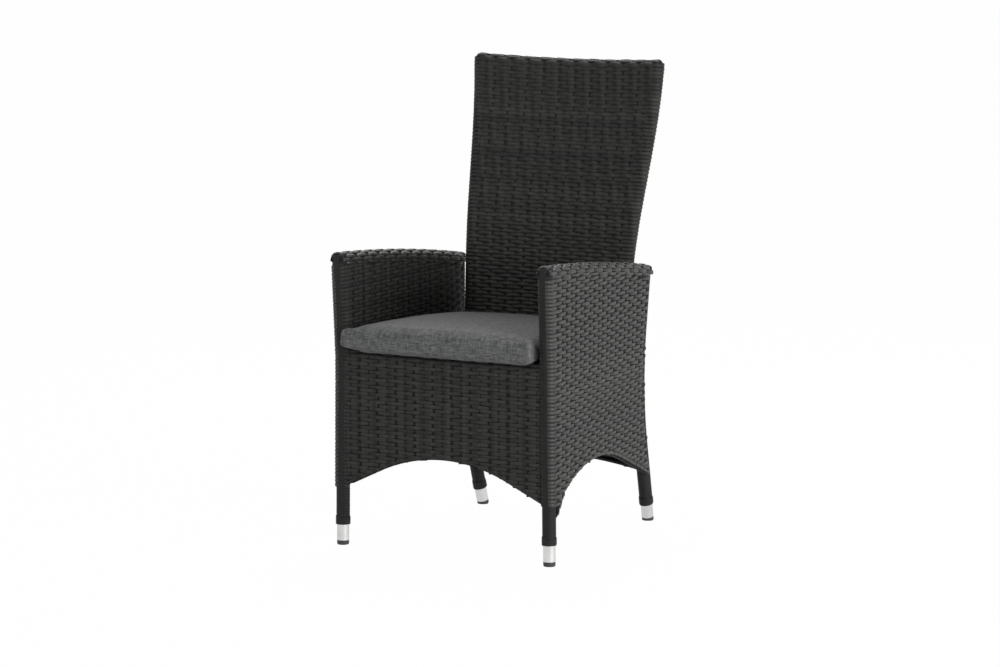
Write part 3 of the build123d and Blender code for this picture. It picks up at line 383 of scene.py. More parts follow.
def strand_tree():
    """A tree that turns lines on a surface into strands that pass over and under hidden stakes."""
    tree = bpy.data.node_groups.new("woven strand", "GeometryNodeTree")
    socket(tree, "Geometry", "Geometry")
    lengths = {"Strand width": 0.01, "Strand thickness": 0.0016, "Rise": 0.0006, "Dip depth": 0.0018}
    for name, value in {**lengths, "Dip share": 0.4}.items():
        socket(tree, name, "Float", value)
    socket(tree, "Material", "Material")
    socket(tree, "Geometry", "Geometry", way="OUTPUT")
    start = put(tree, "NodeGroupInput").outputs
    stake = put(tree, "GeometryNodeInputNamedAttribute", {"Name": "stake"}, data_type="FLOAT")
    outward = put(tree, "GeometryNodeInputNamedAttribute", {"Name": "outward"}, data_type="FLOAT_VECTOR")
    height = put(tree, "ShaderNodeMapRange", {
        "Value": calc(tree, "COSINE", calc(tree, "MULTIPLY", stake.outputs["Attribute"], pi)),
        "From Min": -1.0, "From Max": calc(tree, "ADD", start["Dip share"], -1.0),
        "To Min": calc(tree, "MULTIPLY", start["Dip depth"], -1.0), "To Max": start["Rise"],
    }, interpolation_type="SMOOTHSTEP")
    push = put(tree, "ShaderNodeVectorMath", {
        0: outward.outputs["Attribute"], "Scale": height.outputs["Result"],
    }, operation="SCALE")
    placed = put(tree, "GeometryNodeSetPosition", {"Geometry": start["Geometry"], "Offset": push.outputs[0]})
    line = put(tree, "GeometryNodeMeshToCurve", {"Mesh": placed.outputs[0]})
    faced = put(tree, "GeometryNodeSetCurveNormal", {
        "Curve": line.outputs[0], "Normal": outward.outputs["Attribute"],
    }, mode="FREE")
    ring = put(tree, "GeometryNodeCurvePrimitiveCircle", {"Resolution": STRAND_SIDES, "Radius": 0.5})
    spot = put(tree, "ShaderNodeSeparateXYZ", {0: put(tree, "GeometryNodeInputPosition").outputs[0]})
    marked = put(tree, "GeometryNodeStoreNamedAttribute", {
        "Geometry": ring.outputs["Curve"], "Name": "across", "Value": spot.outputs["Y"],
    }, data_type="FLOAT", domain="POINT")
    size = put(tree, "ShaderNodeCombineXYZ", {
        "X": start["Strand thickness"], "Y": start["Strand width"], "Z": 1.0,
    })
    band = put(tree, "GeometryNodeTransform", {"Geometry": marked.outputs[0], "Scale": size.outputs[0]})
    body = put(tree, "GeometryNodeCurveToMesh", {
        "Curve": faced.outputs[0], "Profile Curve": band.outputs[0], "Fill Caps": True,
    })
    smooth = put(tree, "GeometryNodeSetShadeSmooth", {"Geometry": body.outputs[0]})
    real = put(tree, "GeometryNodeRealizeInstances", {"Geometry": smooth.outputs[0]})
    dressed = put(tree, "GeometryNodeSetMaterial", {
        "Geometry": real.outputs[0], "Material": start["Material"],
    })
    put(tree, "NodeGroupOutput", {"Geometry": dressed.outputs[0]})
    return tree


TONE, TONE_SPREAD = 0.38, 0.16  # mean shade of a strand, 0 dark to 1 pale, and how much strands differ
STREAK, STREAK_WAVES = 0.5, (230, 83)  # how much the shade varies along a strand, and its waves
STAKE_DRIFT = 0.1  # how far a row's crossings stray, as a share of the stakes' distance
SHORTEST_RUN = 4  # points in the shortest strand that is kept


def strands(name, runs, body, material, width, thickness, rise=0.0, depth=0.0, dip=0.5, seed=1, wobble=0.0):
    """One piece of many strands. A run is a list of point, outward direction and stake count."""
    shades = random.Random(seed)
    points, edges, stakes, outwards, tones = [], [], [], [], []
    for run in runs:
        tone = clamped(shades.gauss(TONE, TONE_SPREAD))
        phase, shift, first = shades.uniform(0, 2 * pi), shades.uniform(-1, 1) * STAKE_DRIFT, len(points)
        for index, (point, outward, stake) in enumerate(run):
            if wobble:
                ahead = run[min(index + 1, len(run) - 1)][0] - run[max(index - 1, 0)][0]
                beside = outward.cross(ahead).normalized()
                sway = sin(stake * 1.3 + phase) + 0.6 * sin(stake * 2.9 + 2 * phase)
                point = point + beside * wobble * sway
                stake += shift
            points.append(point)
            outwards.extend(outward)
            stakes.append(stake)
            column = point.x + point.y
            streak = STREAK * sin(STREAK_WAVES[0] * column) * sin(STREAK_WAVES[1] * column + 1)
            tones.append(clamped(tone + streak))
        edges.extend((index, index + 1) for index in range(first, len(points) - 1))
    lines = bpy.data.meshes.new(name + "_lines")
    lines.from_pydata(points, edges, [])
    lines.attributes.new("stake", "FLOAT", "POINT").data.foreach_set("value", stakes)
    lines.attributes.new("tone", "FLOAT", "POINT").data.foreach_set("value", tones)
    lines.attributes.new("outward", "FLOAT_VECTOR", "POINT").data.foreach_set("vector", outwards)
    piece = bpy.data.objects.new(name, lines)
    bpy.context.scene.collection.objects.link(piece)
    values = {
        "Strand width": width, "Strand thickness": thickness, "Rise": rise, "Dip depth": depth,
        "Dip share": dip, "Material": finish(material),
    }
    modifier = piece.modifiers.new("strands", "NODES")
    modifier.node_group = shared(strand_tree)
    for item in modifier.node_group.interface.items_tree:
        if item.name in values:
            modifier[item.identifier] = values[item.name]
    graph = bpy.context.evaluated_depsgraph_get()
    woven = piece.evaluated_get(graph)
    made = bpy.data.meshes.new_from_object(woven, preserve_all_data_layers=True, depsgraph=graph)
    piece.modifiers.clear()
    piece.data = made
    bpy.data.meshes.remove(lines)
    if not made.polygons:
        raise RuntimeError(name + " came out empty")
    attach(piece, body)


def long_enough(runs):
    """The runs with points enough for a strand."""
    return [run for run in runs if len(run) >= SHORTEST_RUN]


def caster(node):
    """The surface of a node, ready for rays."""
    mesh = frame["nodes"][node].data
    points = [vertex.co.copy() for vertex in mesh.vertices]
    return BVHTree.FromPolygons(points, [tuple(face.vertices) for face in mesh.polygons])


STAKE_STEPS = (0.0, 0.3, 0.65, 0.83, 1.0, 1.17, 1.35, 1.7)  # points from a stake to the next but one


def stake_marks(low, high):
    """Counts along a row, close together where the strand dips behind every second stake."""
    marks = []
    pair = int(low // 2) * 2
    while pair <= high:
        marks.extend(pair + step for step in STAKE_STEPS if low <= pair + step <= high)
        pair += 2
    return marks


def row_levels(low, high, row):
    """The number and height of every row between two heights."""
    index = 0
    while low < high:
        yield index, low
        low += row
        index += 1


def row_runs(tree, start, way, reach, pitch, aim, shift, lift, hang):
    """The stretches of one row that lie on a surface, found by rays along the aim."""
    runs = [[]]
    for mark in stake_marks(-reach / pitch, reach / pitch):
        origin = start + way * (mark * pitch)
        hit = tree.ray_cast(origin, aim, RAY)[0]
        lower = tree.ray_cast(origin + DOWN * hang, aim, RAY)[0]
        if hit is None or lower is None:
            runs.append([])
        else:
            runs[-1].append((hit - aim * lift, -aim, mark + shift))
    return long_enough(runs)


def smoothed(run, jump=0.004):
    """Runs cut wherever the surface jumps from one skin to another."""
    parts = [run[:1]]
    for before, after in zip(run, run[1:]):
        if abs((after[0] - before[0]).dot(before[1])) > jump:
            parts.append([])
        parts[-1].append(after)
    return long_enough(parts)


def tucked(run, reach=0.005, drop=0.004, last=0.0):
    """A run whose two ends are carried on and bent in, so that no bare backing shows beside a post."""
    ends = []
    for point, outward, stake, inner, length in (
        (*run[0], run[1][0], reach),
        (*run[-1], run[-2][0], reach + last),
    ):
        away = (point - inner).normalized()
        ends.append([
            (point + away * length * share - outward * drop * share ** 2, outward, stake + 0.001 * share)
            for share in (0.5, 1.0)
        ])
    return ends[0][::-1] + run + ends[1]


def rod_line(node, radius=0.004, groups=70):
    """The middle line of a solid rod, from its faces pulled in by its radius, without its two end faces."""
    mesh = frame["nodes"][node].data
    across = 1 if node.startswith("side") else 0
    sides = [face for face in mesh.polygons if abs(face.normal[across]) < 0.95]
    spots = [tuple(face.center - face.normal * radius) for face in sides]
    spots.sort(key=lambda spot: spot[across])
    size = max(1, len(spots) // groups)
    line = []
    for first in range(0, len(spots), size):
        group = spots[first:first + size]
        line.append(sum((Vector(spot) for spot in group), Vector()) / len(group))
    for end, near, far in ((0, 1, 2), (-1, -2, -3)):
        step = line[near] - line[far]
        line[end] = line[near] + step * (line[end][across] - line[near][across]) / step[across]
    return line


def border(tree, node, aim, pitch, lift, reach=0.012, drop=0.0, spacing=0.004, half=0.0065):
    """A strand along the arched edge of a panel, on its face or half its thickness from the rod."""
    line, gone, run = rod_line(node), 0.0, []
    for before, after in zip(line, line[1:]):
        parts = max(1, round((after - before).length / spacing))
        for part in range(parts):
            place = before.lerp(after, part / parts)
            hit = tree.ray_cast(place - aim * 0.3 + Vector((0, 0, 0.001)), aim, RAY)[0]
            if hit is None:
                hit = place - aim * half
            run.append((hit - aim * lift, -aim, (gone + (place - before).length) / pitch))
        gone += (after - before).length
    return tucked(run, reach, drop)


# Height, distance from the chair's middle and depth of three points on the middle line of a post
FRONT_GUIDE = ((0.0, 0.265, -0.29945), (0.43, 0.261, -0.29945), (0.70, 0.262, -0.316))
REAR_GUIDE = ((0.0, 0.220, 0.28855), (0.33, 0.2335, 0.19155), (0.70, 0.2485, 0.2178))
POST_WIDTHS = (0.027, 0.034)  # two hits this far apart are the post's own sides
POST_PROBE = 0.06


def post_middle(tree, guide, side, level):
    """The middle of a post at a height, found by rays from its sides."""
    for (z0, x0, y0), (z1, x1, y1) in zip(guide, guide[1:]):
        if level <= z1:
            share = (level - z0) / (z1 - z0)
            spot = Vector((side * (x0 + (x1 - x0) * share), y0 + (y1 - y0) * share, level))
            break
    for _ in range(2):
        for axis in (ACROSS, ALONG):
            near = tree.ray_cast(spot - axis * POST_PROBE, axis, POST_PROBE)[0]
            far = tree.ray_cast(spot + axis * POST_PROBE, -axis, POST_PROBE)[0]
            if near and far and POST_WIDTHS[0] < (far - near).length < POST_WIDTHS[1]:
                spot = spot + axis * ((near + far) / 2 - spot).dot(axis)
    return spot


def seen_rays(tree):
    """1 for rays from the camera, a gloss or a clear part, and 0 for those that only carry light."""
    rays = put(tree, "ShaderNodeLightPath").outputs
    either = calc(tree, "MAXIMUM", rays["Is Camera Ray"], rays["Is Glossy Ray"])
    return calc(tree, "MAXIMUM", either, rays["Is Transmission Ray"])


class ARMCHAIR_OT_dress_frame(bpy.types.Operator):
    """Give each construction piece its finish"""

    bl_idname = "armchair.dress_frame"
    bl_label = "Dress the frame"

    def execute(self, context):
        kinds = {
            "wicker": "backing", "frame_tube": "tube", "cushion_fabric": "fabric", "spring_body": "spring",
        }
        for node in frame["nodes"].values():
            for held in node.material_slots:
                base = held.material.name.split(".")[0]
                held.material = finish(kinds.get(base, base))
        return {"FINISHED"}


BACK_FIRST_ROW, BACK_TOP_GAP, BACK_FOOT_GAP = 0.008, 0.009, 0.006  # limits of the rows above and below
BACK_DEPTH = 0.25  # of the back's middle where rays miss a face
BACK_SAG = 0.0068  # how far the highest row hangs in the middle
BACK_EDGE = 0.015  # from the outline to the middle of the rounded edge
BACK_ARC, BACK_ARC_STEPS = radians(118), 6  # how far an edge strand goes round to each side
BACK_TOP_REACH, BACK_TOP_RADIUS, BACK_TOP_LEAN = 0.2445, 0.0145, radians(30)  # of the strands over the top
BACK_LIFT, BACK_EDGE_LIFT, BACK_TOP_LIFT = 0.0004, 0.0006, 0.0003  # height of the strands off the surface


class ARMCHAIR_OT_weave_back(bpy.types.Operator):
    """Weave the strands round the back, row over row"""

    bl_idname = "armchair.weave_back"
    bl_label = "Weave the back"

    def execute(self, context):
        sizes = context.scene.armchair_weave
        low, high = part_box("back_weave")
        tree = caster("back_weave")
        row, pitch = sizes.back_row, sizes.back_stake
        count = int((high.z - BACK_TOP_GAP - low.z - BACK_FOOT_GAP) / row)
        levels = [low.z + BACK_FIRST_ROW + index * row for index in range(count + 1)]
        runs = []
        for index, level in enumerate(levels):
            sag = BACK_SAG * ((level - low.z) / (high.z - low.z)) ** 2
            runs.extend(self.faces(tree, level, pitch, sag, index))
        for step in range(-2, 3):
            runs.extend(long_enough([self.crest(tree, high.z, pitch, step)]))
        bands = [self.edge(tree, side, level) for side in (-1, 1) for level in levels]
        bands = [band for band in bands if len(band) > BACK_ARC_STEPS]
        strands("back_strands", runs, "backrest", "strand", row * 1.3, sizes.thickness * 0.85,
                rise=0.0005, depth=0.0015, seed=sizes.seed, wobble=0.0007)
        strands("back_edge_strands", bands, "backrest", "strand", row * 1.12, sizes.thickness,
                seed=sizes.seed + 1, wobble=0.0003)
        return {"FINISHED"}

    def faces(self, tree, level, pitch, sag, index):
        """One row on the front face and on the rear face."""
        outline = tree.ray_cast(Vector((BESIDE, self.middle(tree, 0.17, level), level)), -ACROSS)[0]
        if outline is None:
            return []
        half = outline.x - BACK_EDGE
        ring = []
        for side in (-1, 1):
            for mark in stake_marks(-half / pitch, half / pitch):
                x = mark * pitch * -side
                y = self.middle(tree, x, level)
                drop = sag * (1 - (x / half) ** 2)
                place, normal = tree.ray_cast(Vector((x, y + side * 0.1, level - drop)), ALONG * -side)[:2]
                if place is not None:
                    ring.append((place + normal * BACK_LIFT, normal, mark + index))
        first = len(ring) // 2
        return long_enough((ring[:first], ring[first:]))

    def edge(self, tree, side, level):
        """One strand round the edge; it is empty where there is no edge."""
        probe = Vector((side * BESIDE, self.middle(tree, side * 0.185, level), level))
        outline = tree.ray_cast(probe, ACROSS * -side)[0]
        if outline is None:
            return []
        x = outline.x - side * BACK_EDGE
        centre = Vector((x, self.middle(tree, x, level), level))
        band = []
        for step in range(-BACK_ARC_STEPS, BACK_ARC_STEPS + 1):
            angle = step / BACK_ARC_STEPS * BACK_ARC
            out = Vector((side * cos(angle), side * sin(angle), 0))
            hit = tree.ray_cast(centre + out * 0.08, -out)[0]
            if hit is not None:
                band.append((hit + out * BACK_EDGE_LIFT, out, 0.0))
        return band

    def crest(self, tree, top, pitch, step):
        """One strand along the rounded top, further behind with each step."""
        lean = BACK_TOP_LEAN * step
        out = Vector((0, sin(lean), cos(lean)))
        run = []
        for mark in stake_marks(-BACK_TOP_REACH / pitch, BACK_TOP_REACH / pitch):
            x = mark * pitch
            highest = tree.ray_cast(Vector((x, self.middle(tree, x, top - 0.02), ABOVE)), DOWN)[0]
            if highest is None:
                continue
            hit = tree.ray_cast(highest + DOWN * BACK_TOP_RADIUS + out * 0.06, -out, 0.08)[0]
            if hit is not None:
                run.append((hit + out * BACK_TOP_LIFT, out, mark + step))
        return run

    def middle(self, tree, x, level):
        """The depth half way between the back's two faces."""
        front = tree.ray_cast(Vector((x, AHEAD, level)), ALONG)[0]
        rear = tree.ray_cast(Vector((x, BEHIND, level)), -ALONG)[0]
        if front is None or rear is None:
            return BACK_DEPTH
        return (front.y + rear.y) / 2


SIDE_FIRST_ROW, SIDE_TOP_GAP = 0.004, 0.02  # limits of the rows above and below
SIDE_MIDDLE, SIDE_REACH = -0.02, 0.31  # depth of the rows' middle and half their length
SIDE_HANG = 0.0035  # a row needs this much surface below it
# Outer and inner face: start of its rays, its rows' lift and degrees round the front post, and
# lift and drop of its border
SKINS = {1: (0.45, 0.0005, 62, 0.0014, 0.008), -1: (0.1, 0.0003, 48, 0.0010, 0.002)}
ARM_GAP = 0.026  # from the top of the arm's roll to the rows below it


class ARMCHAIR_OT_weave_sides(bpy.types.Operator):
    """Weave the outer and inner skins of both sides"""

    bl_idname = "armchair.weave_sides"
    bl_label = "Weave the sides"

    def execute(self, context):
        sizes = context.scene.armchair_weave
        row, pitch = sizes.side_row, sizes.side_stake
        for name, side in SIDES:
            node = "side_weave_" + name
            low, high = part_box(node)
            tree, posts = caster(node), caster("front_wrap_" + name)
            found, edges = {}, []
            for way, (start, lift, turn, edge_lift, drop) in SKINS.items():
                aim = ACROSS * (-way * side)
                found[way] = []
                for index, level in row_levels(low.z + SIDE_FIRST_ROW, high.z - SIDE_TOP_GAP, row):
                    middle = Vector((side * start, SIDE_MIDDLE, level))
                    for run in row_runs(tree, middle, ALONG, SIDE_REACH, pitch, aim, index, lift, SIDE_HANG):
                        parts = smoothed(self.below_arm(tree, run, side))
                        found[way].extend(self.round_post(posts, part, side, turn, way) for part in parts)
                edges.append(border(tree, "side_arch_rod_" + name, aim, pitch / 2, edge_lift, 0.005, drop))
            # The higher an outer row lies, the further its rear end is carried on
            outer = [tucked(run, last=0.009 * clamped((run[0][0].z - 0.42) / 0.2)) for run in found[1]]
            inner = [tucked(run) for run in found[-1]]
            strands("side_strands_" + name, outer, "frame", "side strand", row * 1.04, sizes.thickness * 1.15,
                    rise=0.0014, depth=0.0026, dip=0.78, seed=sizes.seed + 2, wobble=0.0005)
            strands("side_inner_strands_" + name, inner, "frame", "strand", row * 1.1, sizes.thickness,
                    rise=0.0006, depth=0.0021, dip=0.42, seed=sizes.seed + 3, wobble=0.0004)
            strands("side_border_strands_" + name, edges, "frame", "side strand", 0.0066,
                    sizes.thickness * 1.2, rise=0.0008, depth=0.0008, dip=0.6, seed=sizes.seed + 8)
        return {"FINISHED"}

    def round_post(self, posts, run, side, turn, way, radius=0.0163, farthest=-0.27):
        """A row carried on round the front post, towards the chair's front, where it starts near the post."""
        point, _, stake = run[0]
        if point.y > farthest:
            return run
        middle = post_middle(posts, FRONT_GUIDE, side, point.z)
        lead = []
        for angle in map(radians, range(6, turn, 12)):
            out = Vector((side * way * cos(angle), -sin(angle), 0))
            place = middle + out * radius
            if place.y < point.y - 0.001:
                lead.append((place, out, stake // 1 + 0.5 - 0.001 * len(lead)))
        return lead[::-1] + run

    def below_arm(self, tree, run, side):
        """The part of a row that stays under the arm's roll."""
        kept = []
        for mark in run:
            top = tree.ray_cast(Vector((side * 0.255, mark[0].y, ABOVE_ARM)), DOWN)[0]
            if top is None or mark[0].z < top.z - ARM_GAP:
                kept.append(mark)
        return kept


ARM_ARC, ARM_STEPS = 112, 8  # degrees to each side of the top, and the steps from the first row to the last
ARM_FRONT, ARM_LENGTH = -0.30, 0.51
ARM_PLACE, ARM_TAPER = 0.262, 0.016  # the roll's distance from the chair's middle, and how much less behind
ARM_RADIUS = 0.0165


class ARMCHAIR_OT_roll_arms(bpy.types.Operator):
    """Carry the side rows over both arm rolls"""

    bl_idname = "armchair.roll_arms"
    bl_label = "Weave the arm rolls"

    def execute(self, context):
        sizes = context.scene.armchair_weave
        pitch = sizes.side_stake
        for name, side in SIDES:
            tree = caster("side_weave_" + name)
            low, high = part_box("side_weave_" + name)
            rows = []
            for step in range(ARM_STEPS + 1):
                angle = radians(-ARM_ARC + 2 * ARM_ARC * step / ARM_STEPS)
                out = Vector((side * sin(angle), 0, cos(angle)))
                row = []
                for mark in stake_marks((low.y + 0.003) / pitch, (high.y - 0.003) / pitch):
                    centre = self.axis(tree, side, mark * pitch)
                    if centre is None:
                        continue
                    hit = tree.ray_cast(centre + out * 0.05, -out, 0.06)[0]
                    if hit is not None:
                        row.append((hit + out * 0.0006, out, mark + step))
                rows.append(row)
            rows = [tucked(row, reach=0.006, drop=0.009) for row in long_enough(rows)]
            strands("arm_strands_" + name, rows, "frame", "side strand", 0.0094, sizes.thickness * 1.2,
                    rise=0.0011, depth=0.0025, dip=0.7, seed=sizes.seed + 4, wobble=0.0005)
        return {"FINISHED"}

    def axis(self, tree, side, y):
        """The middle of the arm's roll at a depth."""
        x = side * (ARM_PLACE - ARM_TAPER * clamped((y - ARM_FRONT) / ARM_LENGTH))
        top = tree.ray_cast(Vector((x, y, ABOVE_ARM)), DOWN)[0]
        if top is None:
            return None
        return Vector((x, y, top.z - ARM_RADIUS))


APRON_FIRST_ROW, APRON_TOP_GAP = 0.003, 0.002
APRON_REACH, APRON_LIFT, APRON_HANG = 0.27, 0.0004, 0.0026


class ARMCHAIR_OT_weave_aprons(bpy.types.Operator):
    """Weave the front and rear aprons on both faces"""

    bl_idname = "armchair.weave_aprons"
    bl_label = "Weave the aprons"

    def execute(self, context):
        sizes = context.scene.armchair_weave
        row, pitch = sizes.apron_row, sizes.apron_stake
        for node in ("front_apron_weave", "rear_apron_weave"):
            tree = caster(node)
            low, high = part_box(node)
            runs, edges = [], []
            for way in (1, -1):
                aim = ALONG * way
                for index, level in row_levels(low.z + APRON_FIRST_ROW, high.z - APRON_TOP_GAP, row):
                    middle = Vector((0, (low.y + high.y) / 2 - way * 0.3, level))
                    for run in row_runs(tree, middle, ACROSS, APRON_REACH, pitch, aim, index, APRON_LIFT,
                                        APRON_HANG):
                        runs.extend(tucked(part) for part in smoothed(run))
                edges.append(border(tree, node.replace("apron_weave", "arch_rod"), aim, 1.0, 0.0009))
            strands(node.replace("weave", "strands"), runs, "frame", "strand", row * 1.16, sizes.thickness,
                    rise=0.0007, depth=0.0018, seed=sizes.seed + 5, wobble=0.0007)
            strands(node.replace("weave", "border_strands"), edges, "frame", "strand", 0.0064,
                    sizes.thickness, seed=sizes.seed + 9)
        return {"FINISHED"}


WOUND_THICKNESS, POST_RADIUS, POST_STEPS = 0.0022, 0.0147, 60
RODS = ("front_arch_rod", "side_arch_rod_left", "side_arch_rod_right", "rear_arch_rod")
ROD_RADIUS, ROD_PITCH = 0.0046, 0.0062
COLLAR_HEIGHT, COLLAR_REACH = 0.018, 0.0013  # the winding is thicker above the ferrule
SWELL_FROM, SWELL_LENGTH, SWELL_REACH = 0.6, 0.03, 0.0014  # and where a post runs into the arm


class ARMCHAIR_OT_wind_posts(bpy.types.Operator):
    """Wind fine strand on the four posts and on the arched rods"""

    bl_idname = "armchair.wind_posts"
    bl_label = "Wind the posts and rods"

    def execute(self, context):
        sizes = context.scene.armchair_weave
        windings = []
        for name, side in SIDES:
            for node, guide in (("front_wrap_" + name, FRONT_GUIDE), ("rear_wrap_" + name, REAR_GUIDE)):
                tree = caster(node)
                low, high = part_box(node)
                line = []
                for step in range(POST_STEPS + 1):
                    level = low.z + 0.0005 + (high.z - low.z - 0.004) * step / POST_STEPS
                    line.append(post_middle(tree, guide, side, level))
                if node.startswith("front"):
                    line.extend(self.carried_on(line, caster("side_weave_" + name)))
                windings.append(self.helix(line, POST_RADIUS, sizes.post_pitch, low.z + COLLAR_HEIGHT))
        rods = [self.helix(rod_line(node), ROD_RADIUS, ROD_PITCH, steps=10) for node in RODS]
        strands("wound_posts", windings, "frame", "wound strand", sizes.post_pitch * 1.35, WOUND_THICKNESS,
                seed=sizes.seed + 6)
        strands("wound_rods", rods, "frame", "wound strand", 0.0076, WOUND_THICKNESS, seed=sizes.seed + 7)
        return {"FINISHED"}

    def carried_on(self, line, roll, back=8, parts=6):
        """Points that carry a post's line on, to just under the top of the arm's roll."""
        top = line[-1]
        crest = roll.ray_cast(top + Vector((0, 0, 0.2)), DOWN)[0]
        rest = crest.z - 0.003 - top.z
        slope = (top - line[-back]) / (top.z - line[-back].z)
        return [top + slope * rest * part / parts for part in range(1, parts + 1)]

    def helix(self, line, radius, pitch, collar_top=-1.0, steps=18):
        """A winding round a line, thicker below a given height and near the arm."""
        length = [0.0]
        for before, after in zip(line, line[1:]):
            length.append(length[-1] + (after - before).length)
        turn, spot, reference = [], 0, None
        for index in range(int(length[-1] / pitch * steps) + 1):
            distance = index / steps * pitch
            while spot < len(line) - 2 and length[spot + 1] < distance:
                spot += 1
            share = (distance - length[spot]) / max(1e-9, length[spot + 1] - length[spot])
            place = line[spot].lerp(line[spot + 1], clamped(share))
            ahead = (line[min(spot + 2, len(line) - 1)] - line[max(spot - 1, 0)]).normalized()
            if reference is None:
                reference = ahead.orthogonal().normalized()
            reference = (reference - ahead * reference.dot(ahead)).normalized()
            angle = index / steps * 2 * pi
            out = reference * cos(angle) + ahead.cross(reference) * sin(angle)
            reach = radius + (COLLAR_REACH if place.z < collar_top else 0.0)
            reach += SWELL_REACH * clamped((place.z - SWELL_FROM) / SWELL_LENGTH)
            turn.append((place + out * reach, out, 0.0))
        return turn


VOXEL, WELD = 0.005, 0.0002
PRESSURE, CLOTH_FRAMES = 4.0, 20
NOSE_FROM, NOSE_LENGTH, NOSE_REACH = -0.250, 0.08, 0.017  # the pad's front bulges over the apron
EAR_FROM, EAR_LENGTH = -0.3185, 0.012  # its two front corners spread in front of the posts
EAR_INNER, EAR_WIDTH, EAR_RIGHT, EAR_LEFT = 0.16, 0.07, 0.034, 0.012
LIFT_FROM, LIFT_LENGTH, LIFT_REACH = 0.455, 0.03, 0.009  # the top of the sitter's right corner stands up
OUTER_LIMIT = 0.023  # how far a corner may pass the solid cushion


class ARMCHAIR_OT_fill_cushion(bpy.types.Operator):
    """Fill the seat cushion as cloth and dress it"""

    bl_idname = "armchair.fill_cushion"
    bl_label = "Fill the cushion"

    def execute(self, context):
        sizes = context.scene.armchair_cushion
        source = frame["nodes"]["seat_cushion"]
        piece = bpy.data.objects.new("seat_pad", source.data.copy())
        context.scene.collection.objects.link(piece)
        context.view_layer.objects.active = piece
        for other in context.selected_objects:
            other.select_set(False)
        piece.select_set(True)
        self.applied(piece, "WELD", merge_threshold=WELD)
        piece.data.remesh_voxel_size = VOXEL
        bpy.ops.object.voxel_remesh()
        low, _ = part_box("seat_cushion")
        start = [vertex.co - vertex.normal * sizes.shrink for vertex in piece.data.vertices]
        for vertex, place in zip(piece.data.vertices, start):
            vertex.co = place
        cloth = piece.modifiers.new("cloth", "CLOTH")
        cloth.settings.use_pressure = True
        cloth.settings.uniform_pressure_force = PRESSURE
        cloth.settings.effector_weights.gravity = 0.0
        cloth.settings.quality = 5
        cloth.point_cache.frame_start = 1
        cloth.point_cache.frame_end = CLOTH_FRAMES
        for count in range(1, CLOTH_FRAMES + 1):
            context.scene.frame_set(count)
        bpy.ops.object.modifier_apply(modifier="cloth")
        context.scene.frame_set(1)
        for vertex, before in zip(piece.data.vertices, start):
            moved = vertex.co - before
            if moved.length > sizes.travel:
                vertex.co = before + moved.normalized() * sizes.travel
            self.shape(vertex.co)
        self.applied(piece, "SMOOTH", factor=0.5, iterations=4)
        for vertex in piece.data.vertices:
            vertex.co.x = max(vertex.co.x, low.x - OUTER_LIMIT)
        self.applied(piece, "SUBSURF", levels=1, render_levels=1)
        piece.data.shade_smooth()
        piece.data.materials.clear()
        piece.data.materials.append(finish("fabric"))
        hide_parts("seat_cushion")
        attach(piece, "frame")
        return {"FINISHED"}

    def applied(self, piece, kind, **settings):
        """A modifier with its settings, added to the piece and applied at once."""
        modifier = piece.modifiers.new(kind.lower(), kind)
        for key, value in settings.items():
            setattr(modifier, key, value)
        bpy.ops.object.modifier_apply(modifier=modifier.name)

    def shape(self, place):
        """Move a point of the pad for its nose and its two front corners."""
        ahead = clamped((NOSE_FROM - place.y) / NOSE_LENGTH)
        place.y -= NOSE_REACH * ahead * ahead * (3 - 2 * ahead)
        ear = clamped((EAR_FROM - place.y) / EAR_LENGTH)
        share = clamped((abs(place.x) - EAR_INNER) / EAR_WIDTH)
        way, spread = (-1, EAR_RIGHT) if place.x < 0 else (1, EAR_LEFT)
        place.x += way * spread * ear * share
        if place.x < 0:
            place.z += LIFT_REACH * ear * share * clamped((place.z - LIFT_FROM) / LIFT_LENGTH)


FLOOR_GLOW, ROOM_LIGHT = 0.985, 0.27  # share of white on the seen floor, strength of the unseen room
LAMPS = (  # name, place, width, height and power
    ("key_lamp", (4.2, -1.1, 1.15), 3.4, 1.1, 150.0),
    ("fill_lamp", (-1.2, -3.6, 3.6), 2.2, 2.2, 40.0),
    ("rear_lamp", (-0.8, 2.2, 3.8), 2.0, 2.0, 85.0),
)
LAMP_AIM = Vector((0, 0, 0.5))
AZIMUTH, ELEVATION = radians(28.2), radians(8.32)  # where the camera stands, seen from the chair
CAMERA_PLACE = (4.28044, -8.02002, 1.79371)
WHITE = (1, 1, 1, 1)


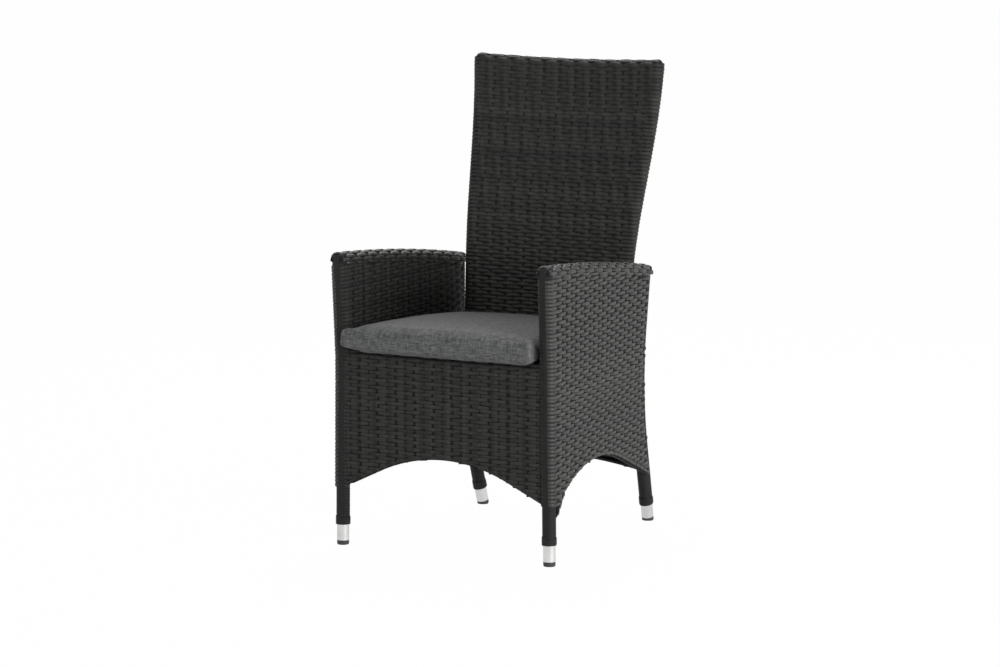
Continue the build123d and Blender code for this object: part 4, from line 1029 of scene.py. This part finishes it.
class ARMCHAIR_OT_set_stage(bpy.types.Operator):
    """Set the floor, the soft lamps, the white surroundings and the camera"""

    bl_idname = "armchair.set_stage"
    bl_label = "Set the stage"

    def execute(self, context):
        scene = context.scene
        bpy.ops.mesh.primitive_plane_add(size=40, location=(0, 0, 0))
        floor = context.active_object
        floor.name = "studio_floor"
        made, tree, shader = blank("studio floor")
        feed(tree, shader, {"Base Color": (0.9, 0.9, 0.9, 1), "Roughness": 0.9, "Specular IOR Level": 0.0})
        glow = put(tree, "ShaderNodeEmission", {"Color": WHITE, "Strength": 1.0})
        blend = put(tree, "ShaderNodeMixShader", {
            0: calc(tree, "MULTIPLY", seen_rays(tree), FLOOR_GLOW), 1: shader.outputs[0], 2: glow.outputs[0],
        })
        feed(tree, tree.nodes["Material Output"], {"Surface": blend.outputs[0]})
        floor.data.materials.append(made)
        world = bpy.data.worlds.new("white room")
        scene.world = world
        world.use_nodes = True
        sky = world.node_tree
        level = put(sky, "ShaderNodeMapRange", {"Value": seen_rays(sky), "To Min": ROOM_LIGHT, "To Max": 1.0})
        feed(sky, sky.nodes["Background"], {"Color": WHITE, "Strength": level.outputs["Result"]})
        for name, place, width, height, power in LAMPS:
            lamp = bpy.data.lights.new(name, "AREA")
            lamp.shape = "RECTANGLE"
            lamp.energy = power
            lamp.size = width
            lamp.size_y = height
            light = bpy.data.objects.new(name, lamp)
            light.location = place
            light.rotation_euler = (LAMP_AIM - Vector(place)).to_track_quat("-Z", "Y").to_euler()
            scene.collection.objects.link(light)
        back = Vector((sin(AZIMUTH) * cos(ELEVATION), -cos(AZIMUTH) * cos(ELEVATION), sin(ELEVATION)))
        lens = bpy.data.cameras.new("camera")
        lens.sensor_width = 36.0
        lens.lens = 144.0
        lens.clip_end = 100.0
        camera = bpy.data.objects.new("camera", lens)
        camera.location = CAMERA_PLACE
        camera.rotation_euler = (-back).to_track_quat("-Z", "Y").to_euler()
        scene.collection.objects.link(camera)
        scene.camera = camera
        scene.view_settings.view_transform = "Standard"
        return {"FINISHED"}


class ARMCHAIR_PT_panel(bpy.types.Panel):
    """The armchair's sizes, colours and steps"""

    bl_label = "Armchair"
    bl_idname = "ARMCHAIR_PT_panel"
    bl_space_type = "VIEW_3D"
    bl_region_type = "UI"
    bl_category = "Armchair"

    def draw(self, context):
        for group in ("armchair_weave", "armchair_cushion", "armchair_finish"):
            held = getattr(context.scene, group)
            box = self.layout.box()
            for name in held.__annotations__:
                box.prop(held, name)
        for step in STEPS:
            self.layout.operator(step.bl_idname)


STEPS = (
    ARMCHAIR_OT_dress_frame,
    ARMCHAIR_OT_weave_back,
    ARMCHAIR_OT_weave_sides,
    ARMCHAIR_OT_roll_arms,
    ARMCHAIR_OT_weave_aprons,
    ARMCHAIR_OT_wind_posts,
    ARMCHAIR_OT_fill_cushion,
    ARMCHAIR_OT_set_stage,
)
CLASSES = (ArmchairWeave, ArmchairCushion, ArmchairFinish, *STEPS, ARMCHAIR_PT_panel)


def register():
    """Add the classes and the settings."""
    for kind in CLASSES:
        bpy.utils.register_class(kind)
    bpy.types.Scene.armchair_weave = bpy.props.PointerProperty(type=ArmchairWeave)
    bpy.types.Scene.armchair_cushion = bpy.props.PointerProperty(type=ArmchairCushion)
    bpy.types.Scene.armchair_finish = bpy.props.PointerProperty(type=ArmchairFinish)


def unregister():
    """Take the classes and the settings away."""
    del bpy.types.Scene.armchair_finish
    del bpy.types.Scene.armchair_cushion
    del bpy.types.Scene.armchair_weave
    for kind in reversed(CLASSES):
        bpy.utils.unregister_class(kind)


def main():
    """Make every piece in order."""
    register()
    bpy.ops.armchair.dress_frame()
    bpy.ops.armchair.weave_back()
    bpy.ops.armchair.weave_sides()
    bpy.ops.armchair.roll_arms()
    bpy.ops.armchair.weave_aprons()
    bpy.ops.armchair.wind_posts()
    bpy.ops.armchair.fill_cushion()
    bpy.ops.armchair.set_stage()


if __name__ == "__main__":
    main()
